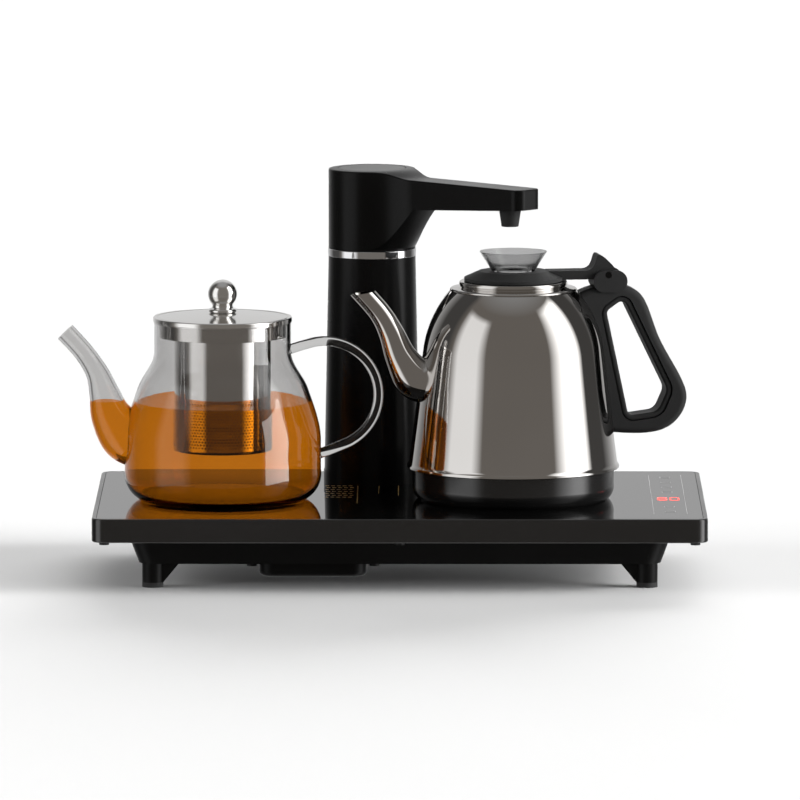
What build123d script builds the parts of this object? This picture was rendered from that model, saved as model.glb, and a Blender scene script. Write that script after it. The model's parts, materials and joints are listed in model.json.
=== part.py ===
# Electric tea maker: a tea tray with a pump tower, an electric kettle and a glass teapot.
# Millimetres, +Z up, +Y to the back. The origin is on the table, under the middle of the whole set.

import os
from math import atan2, cos, degrees, hypot, radians, sin

from build123d import *

os.makedirs("parts", exist_ok=True)

# Clearances
fit = 0.3  # round fixed pieces, and between pieces that pass each other
running_fit = 0.05  # radial, on pins and shafts
seam = 0.1  # between curved pieces that are joined for good

# Tray
tray_length = 370.0
tray_depth = 230.0
tray_corner = 8.0
slab_height = 14.4
frame_wall = 2.7
ledge_width = 12.0
frame_edge = 1.0
glass_thickness = 4.0
flange_thickness = 2.5
housing_height = 16.3
housing_inset_top = 22.0
housing_inset_low = 27.6
housing_corner = 10.0
housing_wall = 2.5
foot_height = 14.6
foot_radius = 6.4
foot_pad = 3.0
foot_stub_radius = 3.0
foot_stub = 2.5
foot_inset_x = 36.0  # from the tray's ends
foot_inset_y = 34.5  # from its front and back
gusset_length = 16.0
gusset_thickness = 7.0
screw_radius = 1.4
screw_hole = 1.5
screw_head_radius = 3.0
screw_head = 1.8
screw_length = 7.0
screw_inset = 7.5

# Pump under the tray
pump_left = 52.5  # of the tray's middle
cover_width = 65.0
cover_depth = 80.0
cover_front = 40.0  # behind the tray's front edge
cover_clearance = 5.0  # above the table
cover_wall = 2.0
cover_corner = 9.0
cover_edge = 3.0
cover_tab = 9.0
motor_radius = 13.85
motor_length = 38.0
pump_radius = 15.5
pump_length = 18.0
pump_wall = 3.0
pump_lift = 1.2  # of the pump above the cover's floor
mount_width = 24.0
mount_height = 9.0
mount_length = 26.0
shaft_radius = 1.2
shaft_length = 14.0
impeller_gap = 1.0
vane_height = 5.0
vane_width = 1.6
vane_count = 6
port_radius = 4.0
port_bore = 2.6
port_length = 9.0
hose_wall = 1.4
hose_bend = 11.0

# Fittings in the tray
barb_length = 17.0
barb_rib = 0.7
barb_pitch = 3.0
inlet_inset = 65.0  # from the tray's right end
inlet_width = 26.0
inlet_height = 11.0
inlet_depth = 16.0
inlet_wall = 2.0
inlet_pin_radius = 1.2
inlet_pin_space = 8.0
port_block_width = 36.0
port_block_depth = 12.0
warmer_radius = 42.0
warmer_thickness = 3.0
holder_radius = 20.0
holder_wall = 2.4
strip_inset = 22.5  # from the tray's right end
strip_end = 25.0  # from its front and back
strip_width = 19.0
board_thickness = 1.6
display_width = 15.0
display_length = 17.0
display_thickness = 3.6
display_back = 96.0  # behind the tray's front edge
pad_radius = 3.5
pad_pitch = 22.0
pad_count = 7
post_radius = 3.0
power_inset = 90.0  # from the tray's right end
power_back = 54.0  # behind the tray's front edge
power_length = 84.0
power_width = 46.0
power_post = 5.0
relay_height = 12.0

# Tower
tower_left = 17.4  # of the tray's middle
tower_inset = 44.0  # from the tray's back edge
base_radius = 29.7
base_height = 7.0
base_floor = 3.0
base_rim = 6.0
stud_radius = 9.0
stud_length = 13.3
nut_radius = 13.0
nut_height = 5.0
washer_thickness = 1.5
column_radius_low = 29.4
column_radius_top = 26.7
column_drop = 26.4  # of its top below the nozzle's tip
column_wall = 2.2
ring_height = 4.6
ring_stand = 0.4
bush_length = 24.0
riser_radius = 4.0
riser_bore = 2.8
riser_bend = 8.0
riser_drop = 7.4  # of its end below the column's top
seal_thickness = 1.2
seal_height = 2.5
seal_drop = 7.0

# Swivelling head
head_rise = 27.5  # of its top above the nozzle's tip
head_wall = 2.2
head_edge = 1.0
head_crown = 22.5  # radius of its level top
arm_drop = 4.0  # of the arm's top below the head's
neck_straight = 1.0
flare_radius = 46.5
flare_rise = 5.4  # of its top above the nozzle's tip
flare_swell = 8.4
flare_drop = 8.2  # of its middle below the nozzle's tip
arm_end = 17.0  # of the arm beyond its nozzle
arm_width = 21.0
arm_corner = 6.0
arm_flare = 42.5
arm_rise = 5.7  # of the underside, from the flare to the end
cover_start = 48.0
spigot_radius = 14.0
spigot_flange_radius = 19.0
spigot_flange = 2.5
spigot_bore = 5.5
spigot_tail = 5.2
clip_width = 5.0
clip_thickness = 1.5
clip_groove = 1.4
clip_mouth = 16.0
tube_radius = 3.0
tube_bore = 2.0
tube_bend = 3.3
tube_gap = 0.3  # under the arm's roof
nozzle_short = 2.8  # of the funnel's middle
nozzle_radius = 6.7
nozzle_tip_radius = 5.2
pour_gap = 15.0  # of the nozzle's tip above the funnel
nozzle_bore = 3.0
nozzle_flange_radius = 8.0
nozzle_flange = 1.5
button_radius = 20.5
button_height = 4.0
button_travel = 1.2
button_stem = 3.0
switch_size = 12.0
switch_height = 4.0
switch_board_length = 26.0
switch_board_drop = 12.0
boss_radius = 2.6
boss_back = 9.0
boss_spread = 43.6

# Kettle: heights are above the glass
kettle_right = 68.7  # of the tray's middle
kettle_back = 102.0  # behind the tray's front edge
kettle_angle = 9.0
steel = 1.0
foot_ring_radius = 58.7
foot_ring_edge = 1.2
kettle_base_radius = 61.4
kettle_base_height = 19.0
kettle_base_wall = 2.4
rim_radius = 64.5
rim_height = 1.4
body_radius_low = 63.2
body_low = 22.8
body_radius_high = 54.8
body_high = 90.0
mouth_radius = 38.6
mouth_height = 127.0
mouth_bead = 1.6
neck_radius = 32.4
neck_rise = 5.8  # above the mouth
neck_bore = 28.6
plate_radius = 61.8
plate_thickness = 2.5
plug_radius = 16.0
plug_height = 9.5
plug_flange_radius = 22.0
plug_flange = 3.0
plug_slot_radius = 11.0
plug_slot_width = 2.0
plug_slot_depth = 6.0
plug_pin_radius = 1.8
plug_pin_hole = 2.6
plug_boss_wall = 3.0
socket_radius = 21.5
socket_low = 0.6
socket_top = 13.5
socket_ceiling = 3.2
socket_collar = 2.2
thermostat_radius = 17.0

# Kettle spout, along the side plane: places of the middle line and radii there
spout_wall = 1.0
spout_root = (50.0, 72.0)
spout_root_radius = 14.2
spout_heel = (60.4, 75.0)
spout_heel_radius = 13.2
spout_knee = (69.0, 87.5)
spout_knee_radius = 9.7
spout_neck = (75.3, 103.0)
spout_neck_radius = 7.6
spout_bend = (82.6, 115.6)
spout_bend_radius = 6.6
spout_tip = (97.0, 132.0)
spout_tip_radius = 6.4
spout_lip = (92.5, 127.0)
spout_lip_slope = 0.16

# Kettle handle
hinge_x = 56.9
hinge_rise = 3.6  # above the neck
handle_rise = 3.2  # of its top above the mouth
handle_reach = 106.0
shoulder_drop = 2.5  # below the mouth
nape_drop = 11.7
waist_share = 0.764  # of the way from the heel up to the nape
hip_share = 0.374
belly_share = 0.24
handle_heel = (97.5, 44.5)
handle_shoulder = (77.0, mouth_height - shoulder_drop)
handle_nape = (82.3, mouth_height - nape_drop)
handle_span = handle_nape[1] - handle_heel[1]
handle_waist = (88.4, handle_heel[1] + waist_share * handle_span)
handle_hip = (103.2, handle_heel[1] + hip_share * handle_span)
handle_belly = handle_heel[1] + belly_share * handle_span
handle_toe = (80.0, 39.0)
handle_depth = 19.0
handle_round = 4.0
grip_left_drop = 13.0  # below the mouth
grip_top_drop = 5.5
grip_share = 0.1896  # of the way up from its low corner
grip_left = (56.2, mouth_height - grip_left_drop)
grip_top = (66.6, mouth_height - grip_top_drop)
grip_low = (88.0, 52.4)
grip_right = (93.8, grip_low[1] + grip_share * (grip_top[1] - grip_low[1]))
grip_foot = (69.8, 50.0)
grip_corner = 3.6
grip_band = 3.6
grip_depth = 17.6
grip_round = 1.5
ear_thickness = 2.8
ear_length = 20.8
ear_height = 13.4
ear_offset = 1.3
ear_drop = 4.0
stud_bolt_radius = 2.0
stud_drop = 11.0  # below the mouth
stud_bolt_high = (51.0, mouth_height - stud_drop)  # end of the upper stud
stud_bolt_low = (66.5, 42.7)  # end of the lower stud

# Kettle lid
lid_radius = 29.8
lid_edge = 1.9
lid_rise = 6.2  # of its top above the neck
lid_flat = 21.0
lid_arm = 14.8
lid_arm_gap = 0.8  # above the neck
thumb_start = 43.0
thumb_rise = 21.4  # above the mouth
thumb_back_rise = 15.5
thumb_peak = (51.0, mouth_height + thumb_rise)
thumb_back = (59.5, mouth_height + thumb_back_rise)
barrel_radius = 5.4
pin_radius = 2.0
skirt_radius = 25.0
skirt_wall = 2.0
skirt_drop = 3.0  # below the mouth
gasket_radius = 27.4
gasket_drop = 1.0  # below the mouth
gasket_height = 3.0
liner_thickness = 1.2
funnel_radius = 20.4
funnel_rise = 11.8  # above the lid
funnel_foot = 13.1
funnel_wall = 1.4
funnel_bore = 8.6
funnel_spigot = 10.0

# Teapot: heights are above the glass
teapot_left = 107.7  # of the tray's middle
teapot_back = 97.0  # behind the tray's front edge
glass_wall = 2.0
glass_floor = 2.6
pot_foot = 49.6
pot_radius = 59.6
pot_heel = (57.8, 7.6)
pot_swell = 18.5
pot_belly = 37.0
pot_height = 108.0
pot_shoulder_drop = 41.0  # below the top
pot_shoulder = (52.0, pot_height - pot_shoulder_drop)
pot_neck = 41.5
pot_neck_length = 17.0
beak_root = (46.0, 35.0)
beak_root_radius = 17.0
beak_heel = (58.6, 38.5)
beak_heel_radius = 16.0
beak_belly = (67.6, 51.0)
beak_belly_radius = 12.6
beak_neck = (71.8, 64.0)
beak_neck_radius = 9.4
beak_bend = (76.2, 77.0)
beak_bend_radius = 7.0
beak_throat = (84.6, 90.0)
beak_throat_radius = 6.1
beak_tip = (95.5, 102.0)
beak_tip_radius = 6.1
loop_x = 62.0
loop_drop = 44.0  # of its middle below the pot's top
loop_radius = 32.5
loop_start = 107.0
loop_end = -68.0
loop_lead = 14.0
loop_tail = 22.0
rod_radius = 3.0

# Infuser and lid of the teapot
mesh_steel = 0.6
infuser_flange = 41.9
collar_radius = 38.4
collar_depth = 8.5
basket_radius = 29.4
basket_low = 30.0
pot_lid_radius = 42.2
pot_lid_edge = 2.8
pot_lid_crown = 2.6
pot_lid_steel = 0.8
pot_lid_skirt = 36.6
pot_lid_skirt_depth = 6.0
knob_radius = 8.8
knob_rise = 11.2  # of its middle above the lid
knob_neck = 5.3
knob_foot = 8.5
knob_edge = 0.8
knob_screw_radius = 2.0
knob_screw_head = 5.0
knob_screw_grip = 6.0

# Heights that follow
slab_low = foot_height + housing_height
tray_top = slab_low + slab_height
glass_low = tray_top - glass_thickness
ledge_low = slab_low + flange_thickness
housing_floor = foot_height + housing_wall
cover_floor = cover_clearance + cover_wall
pump_z = cover_floor + pump_lift + pump_radius
neck_height = mouth_height + neck_rise
hinge_z = neck_height + hinge_rise
handle_top = mouth_height + handle_rise
lid_top = neck_height + lid_rise
lid_arm_low = neck_height + lid_arm_gap
skirt_low = mouth_height - skirt_drop
gasket_low = mouth_height - gasket_drop
funnel_height = lid_top + funnel_rise
nozzle_tip = funnel_height + pour_gap
column_top = nozzle_tip - column_drop
riser_top = column_top - riser_drop
head_top = nozzle_tip + head_rise
flare_top = nozzle_tip + flare_rise
flare_middle = nozzle_tip - flare_drop
ring_top = column_top + ring_height
head_low = ring_top + fit
bush_low = ring_top - bush_length
spigot_low = bush_low - spigot_tail
arm_top = head_top - arm_drop
pot_neck_low = pot_height - pot_neck_length
loop_z = pot_height - loop_drop
collar_low = pot_height - collar_depth
pot_lid_skirt_low = pot_height - pot_lid_skirt_depth

# Places that follow
tray_x = (teapot_left + beak_tip[0] + beak_tip_radius - tray_length / 2) / 2
tray_front = -tray_depth / 2
pump_x = tray_x - pump_left
pump_face = tray_front + cover_front + cover_wall + fit + motor_length
pump_middle = pump_face + pump_length / 2
tower_x = tray_x - tower_left
tower_y = tray_depth / 2 - tower_inset
kettle_x = tray_x + kettle_right
kettle_y = tray_front + kettle_back
teapot_x = tray_x - teapot_left
teapot_y = tray_front + teapot_back
arm_reach = hypot(kettle_x - tower_x, kettle_y - tower_y)
arm_angle = degrees(atan2(kettle_y - tower_y, kettle_x - tower_x))
nozzle_reach = arm_reach - nozzle_short
arm_length = nozzle_reach + arm_end
foot_x = tray_length / 2 - foot_inset_x
foot_y = tray_depth / 2 - foot_inset_y
inlet_right = tray_length / 2 - inlet_inset
strip_right = tray_length / 2 - strip_inset
strip_length = tray_depth - 2 * strip_end
power_right = tray_length / 2 - power_inset
back_face = tray_depth / 2 - housing_inset_low + port_block_depth / 2


def side_plane(x, y, angle, z=tray_top):
    """An upright plane through a place, its x axis along an angle and its y axis up."""
    a = radians(angle)
    return Plane(origin=(x, y, z), x_dir=(cos(a), sin(a), 0), z_dir=(sin(a), -cos(a), 0))


def plan_plane(x, y, angle, z):
    """A level plane at a height above the glass, its x axis along an angle."""
    a = radians(angle)
    return Plane(origin=(x, y, tray_top + z), x_dir=(cos(a), sin(a), 0), z_dir=(0, 0, 1))


def save(piece, name):
    """Label a finished piece and write its STEP file."""
    piece.part.label = name
    export_step(piece.part, f"parts/{name}.step")


tray_plane = Plane((tray_x, 0, 0))
tower_axis = Axis((tower_x, tower_y, 0), (0, 0, 1))
tower_side = side_plane(tower_x, tower_y, 0)
arm_side = side_plane(tower_x, tower_y, arm_angle)
kettle_axis = Axis((kettle_x, kettle_y, 0), (0, 0, 1))
kettle_side = side_plane(kettle_x, kettle_y, kettle_angle)
teapot_axis = Axis((teapot_x, teapot_y, 0), (0, 0, 1))
teapot_side = side_plane(teapot_x, teapot_y, 0)


def tower_plan(z):
    return plan_plane(tower_x, tower_y, arm_angle, z)


def kettle_plan(z):
    return plan_plane(kettle_x, kettle_y, kettle_angle, z)


def teapot_plan(z):
    return plan_plane(teapot_x, teapot_y, 0, z)


def tray_outline(inset):
    """The tray's rounded outline, drawn in from its edge."""
    corner = max(tray_corner - inset, 1.0)
    RectangleRounded(tray_length - 2 * inset, tray_depth - 2 * inset, corner)


def frame_screws():
    """Where the screws between housing and frame stand."""
    return GridLocations(tray_length / 2 - screw_inset, tray_depth - 2 * screw_inset, 3, 2)


def cover_tabs():
    """Where the screws of the pump cover's tabs stand, from the tray's middle."""
    across = (cover_width + cover_tab) / 2
    along = cover_depth / 2 - cover_tab
    middle_y = tray_front + cover_front + cover_depth / 2
    return [(i * across - pump_left, middle_y + j * along) for i in (-1, 1) for j in (-1, 1)]


def feet():
    """Where the four feet stand, from the tray's middle."""
    return GridLocations(2 * foot_x, 2 * foot_y, 2, 2)


# Tray frame: a moulded border, with a ledge for the glass above and a rebate for the housing below
with BuildPart() as tray_frame:
    with BuildSketch(tray_plane.offset(slab_low)):
        tray_outline(0)
    extrude(amount=slab_height)
    rims = tray_frame.edges().filter_by(Plane.XY)
    fillet(rims, radius=frame_edge)
    with BuildSketch(tray_plane.offset(glass_low)):
        tray_outline(frame_wall)
    extrude(amount=glass_thickness, mode=Mode.SUBTRACT)
    with BuildSketch(tray_plane.offset(slab_low)):
        tray_outline(frame_wall)
    extrude(amount=flange_thickness, mode=Mode.SUBTRACT)
    with BuildSketch(tray_plane.offset(slab_low)):
        tray_outline(ledge_width)
    extrude(amount=slab_height, mode=Mode.SUBTRACT)
    with BuildSketch(tray_plane.offset(ledge_low)):
        with frame_screws():
            Circle(screw_hole)
    extrude(amount=screw_length, mode=Mode.SUBTRACT)
save(tray_frame, "tray_frame")

# Glass panel, with holes for the tower's stud and the kettle's power plug
with BuildPart() as glass_panel:
    with BuildSketch(tray_plane.offset(glass_low)):
        tray_outline(frame_wall + fit)
        with Locations((tower_x - tray_x, tower_y)):
            Circle(stud_radius + fit, mode=Mode.SUBTRACT)
        with Locations((kettle_x - tray_x, kettle_y)):
            Circle(plug_radius + fit, mode=Mode.SUBTRACT)
    extrude(amount=glass_thickness)
save(glass_panel, "glass_panel")

# Base housing: a tapered tub with a flange, four legs, posts for the boards and blocks for the rear ports
low_length = tray_length - 2 * housing_inset_low
low_depth = tray_depth - 2 * housing_inset_low
top_length = tray_length - 2 * housing_inset_top
top_depth = tray_depth - 2 * housing_inset_top
board_low = glass_low - display_thickness - board_thickness
with BuildPart() as base_housing:
    with BuildSketch(tray_plane.offset(foot_height)):
        RectangleRounded(low_length, low_depth, housing_corner)
    with BuildSketch(tray_plane.offset(slab_low)):
        RectangleRounded(top_length, top_depth, housing_corner)
    loft()
    with BuildSketch(tray_plane.offset(slab_low)):
        tray_outline(frame_wall + fit)
    extrude(amount=flange_thickness)
    with BuildSketch(tray_plane.offset(housing_floor)):
        RectangleRounded(low_length - 2 * housing_wall, low_depth - 2 * housing_wall, housing_corner)
    with BuildSketch(tray_plane.offset(ledge_low)):
        RectangleRounded(top_length - 2 * housing_wall, top_depth - 2 * housing_wall, housing_corner)
    loft(mode=Mode.SUBTRACT)
    # blocks that give the rear ports an upright face
    with BuildSketch(tray_plane.offset(foot_height)):
        with Locations((-pump_left, back_face), (inlet_right, back_face)):
            Rectangle(port_block_width, port_block_depth, align=(Align.CENTER, Align.MAX))
    extrude(amount=housing_height)
    # legs and their gussets
    with BuildSketch(tray_plane.offset(foot_pad)):
        with feet():
            Circle(foot_radius)
            Circle(foot_stub_radius + seam, mode=Mode.SUBTRACT)
    extrude(amount=foot_height - foot_pad)
    for foot in feet():
        inward = 180 if foot.position.X > 0 else 0
        with BuildSketch(side_plane(tray_x + foot.position.X, foot.position.Y, inward, 0)):
            with BuildLine():
                Polyline(
                    (foot_stub_radius + seam, foot_pad),
                    (foot_radius, foot_pad),
                    (gusset_length, foot_height),
                    (foot_stub_radius + seam, foot_height),
                    close=True,
                )
            make_face()
        extrude(amount=gusset_thickness / 2, both=True)
    # seat of the power plug
    with BuildSketch(tray_plane.offset(foot_height)):
        with Locations((kettle_right, kettle_y)):
            Circle(plug_flange_radius)
            Circle(plug_flange_radius - plug_boss_wall, mode=Mode.SUBTRACT)
    extrude(amount=glass_low - plug_flange - foot_height)
    # posts under the two boards
    with BuildSketch(tray_plane.offset(slab_low)):
        with Locations((strip_right, 0)):
            with GridLocations(0, strip_length - 4 * post_radius, 1, 2):
                Circle(post_radius)
    extrude(amount=board_low - slab_low)
    with BuildSketch(tray_plane.offset(foot_height)):
        with Locations((power_right, tray_front + power_back)):
            with GridLocations(power_length - 4 * post_radius, power_width - 4 * post_radius, 2, 2):
                Circle(post_radius)
    extrude(amount=housing_wall + power_post)
    # opening over the pump
    with BuildSketch(tray_plane.offset(foot_height)):
        with Locations((-pump_left, tray_front + cover_front + cover_depth / 2)):
            RectangleRounded(cover_width - 2 * cover_wall, cover_depth - 2 * cover_wall, cover_corner)
    extrude(amount=housing_wall, mode=Mode.SUBTRACT)
    # holes for the rear ports and the screws
    port_deep = 3 * port_block_depth
    with BuildSketch(Plane((pump_x, back_face, pump_z), z_dir=(0, 1, 0), x_dir=(-1, 0, 0))):
        Circle(port_radius + fit)
    extrude(amount=-port_deep, mode=Mode.SUBTRACT)
    with BuildSketch(Plane((tray_x + inlet_right, back_face, pump_z), z_dir=(0, 1, 0), x_dir=(-1, 0, 0))):
        Rectangle(inlet_width + 2 * seam, inlet_height + 2 * seam)
    extrude(amount=-port_deep, mode=Mode.SUBTRACT)
    with BuildSketch(tray_plane.offset(slab_low)):
        with frame_screws():
            Circle(screw_hole)
    extrude(amount=flange_thickness, mode=Mode.SUBTRACT)
    with BuildSketch(tray_plane.offset(foot_height)):
        with Locations(*cover_tabs()):
            Circle(screw_hole)
    extrude(amount=housing_wall, mode=Mode.SUBTRACT)
save(base_housing, "base_housing")

with BuildPart() as housing_screws:
    with BuildSketch(tray_plane.offset(slab_low - screw_head)):
        with frame_screws():
            Circle(screw_head_radius)
    extrude(amount=screw_head)
    with BuildSketch(tray_plane.offset(slab_low)):
        with frame_screws():
            Circle(screw_radius)
    extrude(amount=screw_length)
save(housing_screws, "housing_screws")

# Rubber pads under the legs, each with a stub that plugs into its leg
with BuildPart() as rubber_feet:
    with BuildSketch(tray_plane):
        with feet():
            Circle(foot_radius)
    extrude(amount=foot_pad)
    with BuildSketch(tray_plane.offset(foot_pad)):
        with feet():
            Circle(foot_stub_radius)
    extrude(amount=foot_stub)
save(rubber_feet, "rubber_feet")

# Pump cover: a shallow box under the housing, with two tabs at each side
with BuildPart() as pump_cover:
    cover_place = (-pump_left, tray_front + cover_front + cover_depth / 2)
    with BuildSketch(tray_plane.offset(cover_clearance)):
        with Locations(cover_place):
            RectangleRounded(cover_width, cover_depth, cover_corner)
    extrude(amount=foot_height - cover_clearance)
    fillet(pump_cover.faces().sort_by(Axis.Z)[0].edges(), radius=cover_edge)
    with BuildSketch(tray_plane.offset(foot_height - cover_wall)):
        with Locations(*cover_tabs()):
            Rectangle(cover_tab, cover_tab)
    extrude(amount=cover_wall)
    with BuildSketch(tray_plane.offset(cover_floor)):
        with Locations(cover_place):
            RectangleRounded(cover_width - 2 * cover_wall, cover_depth - 2 * cover_wall, cover_corner)
    extrude(amount=foot_height - cover_floor, mode=Mode.SUBTRACT)
    with BuildSketch(tray_plane.offset(foot_height - cover_wall)):
        with Locations(*cover_tabs()):
            Circle(screw_hole)
    extrude(amount=cover_wall, mode=Mode.SUBTRACT)
save(pump_cover, "pump_cover")

with BuildPart() as cover_screws:
    with BuildSketch(tray_plane.offset(foot_height - cover_wall - screw_head)):
        with Locations(*cover_tabs()):
            Circle(screw_head_radius)
    extrude(amount=screw_head)
    with BuildSketch(tray_plane.offset(foot_height - cover_wall)):
        with Locations(*cover_tabs()):
            Circle(screw_radius)
    extrude(amount=cover_wall + housing_wall)
save(cover_screws, "cover_screws")


def pump_plane(y):
    """A plane across the pump's axis, facing the back."""
    return Plane((pump_x, y, pump_z), z_dir=(0, 1, 0), x_dir=(-1, 0, 0))


# Pump: motor, head with its two ports, and the impeller on the motor's shaft
with BuildPart() as pump_motor:
    with BuildSketch(pump_plane(pump_face)):
        Circle(motor_radius)
    extrude(amount=-motor_length)
    fillet(pump_motor.faces().sort_by(Axis.Y)[0].edges(), radius=shaft_radius)
    with BuildSketch(pump_plane(pump_face)):
        Circle(shaft_radius + running_fit)
    extrude(amount=-shaft_length, mode=Mode.SUBTRACT)
save(pump_motor, "pump_motor")

chamber_radius = pump_radius - pump_wall
with BuildPart() as pump_head:
    with BuildSketch(pump_plane(pump_face)):
        Circle(pump_radius)
    extrude(amount=pump_length)
    with BuildSketch(pump_plane(pump_face + pump_length)):
        Circle(port_radius)
    extrude(amount=port_length)
    with BuildSketch(Plane((pump_x, pump_middle, pump_z), z_dir=(1, 0, 0), x_dir=(0, 1, 0))):
        Circle(port_radius)
    extrude(amount=pump_radius + port_length)
    with BuildSketch(pump_plane(pump_face + pump_wall)):
        Circle(chamber_radius)
    extrude(amount=pump_length - 2 * pump_wall, mode=Mode.SUBTRACT)
    with BuildSketch(pump_plane(pump_face)):
        Circle(shaft_radius + running_fit)
    extrude(amount=pump_wall, mode=Mode.SUBTRACT)
    with BuildSketch(pump_plane(pump_face + pump_length - pump_wall)):
        Circle(port_bore)
    extrude(amount=pump_wall + port_length, mode=Mode.SUBTRACT)
    with BuildSketch(Plane((pump_x, pump_middle, pump_z), z_dir=(1, 0, 0), x_dir=(0, 1, 0))):
        Circle(port_bore)
    extrude(amount=pump_radius + port_length, mode=Mode.SUBTRACT)
save(pump_head, "pump_head")

impeller_face = pump_face + pump_wall + impeller_gap
impeller_radius = chamber_radius - impeller_gap
with BuildPart() as pump_impeller:
    with BuildSketch(pump_plane(impeller_face)):
        Circle(impeller_radius)
    extrude(amount=vane_width)
    with BuildSketch(pump_plane(impeller_face)):
        with PolarLocations(impeller_radius / 2, vane_count):
            Rectangle(impeller_radius - 2 * shaft_radius, vane_width)
        Circle(2 * shaft_radius)
    extrude(amount=vane_width + vane_height)
    with BuildSketch(pump_plane(impeller_face)):
        Circle(impeller_radius)
    extrude(amount=vane_width + vane_height, mode=Mode.INTERSECT)
    with BuildSketch(pump_plane(impeller_face)):
        Circle(shaft_radius)
    extrude(amount=-(pump_wall + impeller_gap + shaft_length - fit))
save(pump_impeller, "pump_impeller")

# Rubber saddle under the motor
with BuildPart() as pump_mount:
    with BuildSketch(tray_plane.offset(cover_floor)):
        with Locations((-pump_left, pump_face - motor_length / 2)):
            RectangleRounded(mount_width, mount_length, cover_wall)
    extrude(amount=mount_height)
    with BuildSketch(pump_plane(pump_face)):
        Circle(motor_radius + seam)
    extrude(amount=-motor_length, mode=Mode.SUBTRACT)
save(pump_mount, "pump_mount")

# Water inlet: a ribbed barb through the housing's back wall
barb_inside = back_face - port_block_depth - port_length
with BuildPart() as inlet_barb:
    with BuildSketch(pump_plane(back_face)):
        Circle(port_radius + hose_wall + fit)
    extrude(amount=hose_wall)
    with BuildSketch(pump_plane(barb_inside)):
        Circle(port_radius)
    extrude(amount=back_face + barb_length - barb_inside)
    for rib in range(3):
        with BuildSketch(pump_plane(back_face + barb_length - (rib + 1) * barb_pitch)):
            Circle(port_radius + barb_rib)
        with BuildSketch(pump_plane(back_face + barb_length - rib * barb_pitch)):
            Circle(port_radius)
        loft()
    with BuildSketch(pump_plane(barb_inside)):
        Circle(port_bore)
    extrude(amount=back_face + barb_length - barb_inside, mode=Mode.SUBTRACT)
save(inlet_barb, "inlet_barb")

hose_radius = port_radius + running_fit + hose_wall
with BuildPart() as inlet_hose:
    with BuildSketch(pump_plane(pump_face + pump_length)):
        Circle(hose_radius)
        Circle(port_radius + running_fit, mode=Mode.SUBTRACT)
    extrude(amount=back_face - port_block_depth - pump_face - pump_length - fit)
save(inlet_hose, "inlet_hose")

riser_tail = tower_y - riser_bend - riser_radius - port_length
with BuildPart() as outlet_hose:
    hose_start = (pump_x + pump_radius + fit, pump_middle, pump_z)
    with BuildLine() as outlet_route:
        FilletPolyline(
            hose_start,
            (tower_x, pump_middle, pump_z),
            (tower_x, riser_tail + port_length, pump_z),
            radius=hose_bend,
        )
    with BuildSketch(Plane(hose_start, z_dir=(1, 0, 0), x_dir=(0, 1, 0))):
        Circle(hose_radius)
        Circle(port_radius + running_fit, mode=Mode.SUBTRACT)
    sweep(path=outlet_route.line)
save(outlet_hose, "outlet_hose")

# Mains inlet: a socket block in the housing's back wall, with two pins
with BuildPart() as mains_inlet:
    inlet_plane = Plane((tray_x + inlet_right, back_face, pump_z), z_dir=(0, 1, 0), x_dir=(-1, 0, 0))
    with BuildSketch(inlet_plane):
        RectangleRounded(inlet_width, inlet_height, inlet_wall)
    extrude(amount=-inlet_depth)
    with BuildSketch(inlet_plane):
        RectangleRounded(inlet_width + 2 * inlet_wall, inlet_height + inlet_wall, inlet_wall)
    extrude(amount=inlet_wall)
    with BuildSketch(inlet_plane.offset(inlet_wall)):
        SlotOverall(inlet_width - 2 * inlet_wall, inlet_height - 2 * inlet_wall)
    extrude(amount=-inlet_depth, mode=Mode.SUBTRACT)
    with BuildSketch(inlet_plane.offset(-inlet_depth)):
        with GridLocations(inlet_pin_space, 0, 2, 1):
            Circle(inlet_pin_radius)
    extrude(amount=inlet_depth - inlet_wall)
save(mains_inlet, "mains_inlet")

# Warming plate under the teapot, pressed to the glass by a tube on the housing's floor
with BuildPart() as warmer_plate:
    with BuildSketch(teapot_plan(-glass_thickness - warmer_thickness)):
        Circle(warmer_radius)
    extrude(amount=warmer_thickness)
save(warmer_plate, "warmer_plate")

with BuildPart() as warmer_holder:
    with BuildSketch(tray_plane.offset(housing_floor)):
        with Locations((-teapot_left, teapot_y)):
            Circle(holder_radius)
            Circle(holder_radius - holder_wall, mode=Mode.SUBTRACT)
    extrude(amount=glass_low - warmer_thickness - housing_floor)
save(warmer_holder, "warmer_holder")

# Touch strip: a long board under the glass, with the number display and the touch pads on it
with BuildPart() as control_board:
    with BuildSketch(tray_plane.offset(board_low)):
        with Locations((strip_right, 0)):
            Rectangle(strip_width, strip_length)
    extrude(amount=board_thickness)
save(control_board, "control_board")

display_y = tray_front + display_back
with BuildPart() as display_module:
    with BuildSketch(tray_plane.offset(board_low + board_thickness)):
        with Locations((strip_right, display_y)):
            Rectangle(display_width, display_length)
    extrude(amount=display_thickness)
save(display_module, "display_module")

with BuildPart() as touch_pads:
    with BuildSketch(tray_plane.offset(board_low + board_thickness)):
        for step in range(pad_count):
            pad_y = (step - (pad_count - 1) / 2) * pad_pitch
            if abs(pad_y - display_y) > display_length / 2 + pad_radius + fit:
                with Locations((strip_right, pad_y)):
                    Circle(pad_radius)
    extrude(amount=display_thickness)
save(touch_pads, "touch_pads")

with BuildPart() as power_board:
    power_place = (power_right, tray_front + power_back)
    with BuildSketch(tray_plane.offset(housing_floor + power_post)):
        with Locations(power_place):
            Rectangle(power_length, power_width)
    extrude(amount=board_thickness)
    with BuildSketch(tray_plane.offset(housing_floor + power_post + board_thickness)):
        with Locations(power_place):
            with GridLocations(power_length / 3, power_width / 2, 3, 2):
                Rectangle(power_length / 5, power_width / 3)
    extrude(amount=relay_height)
save(power_board, "power_board")

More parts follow.
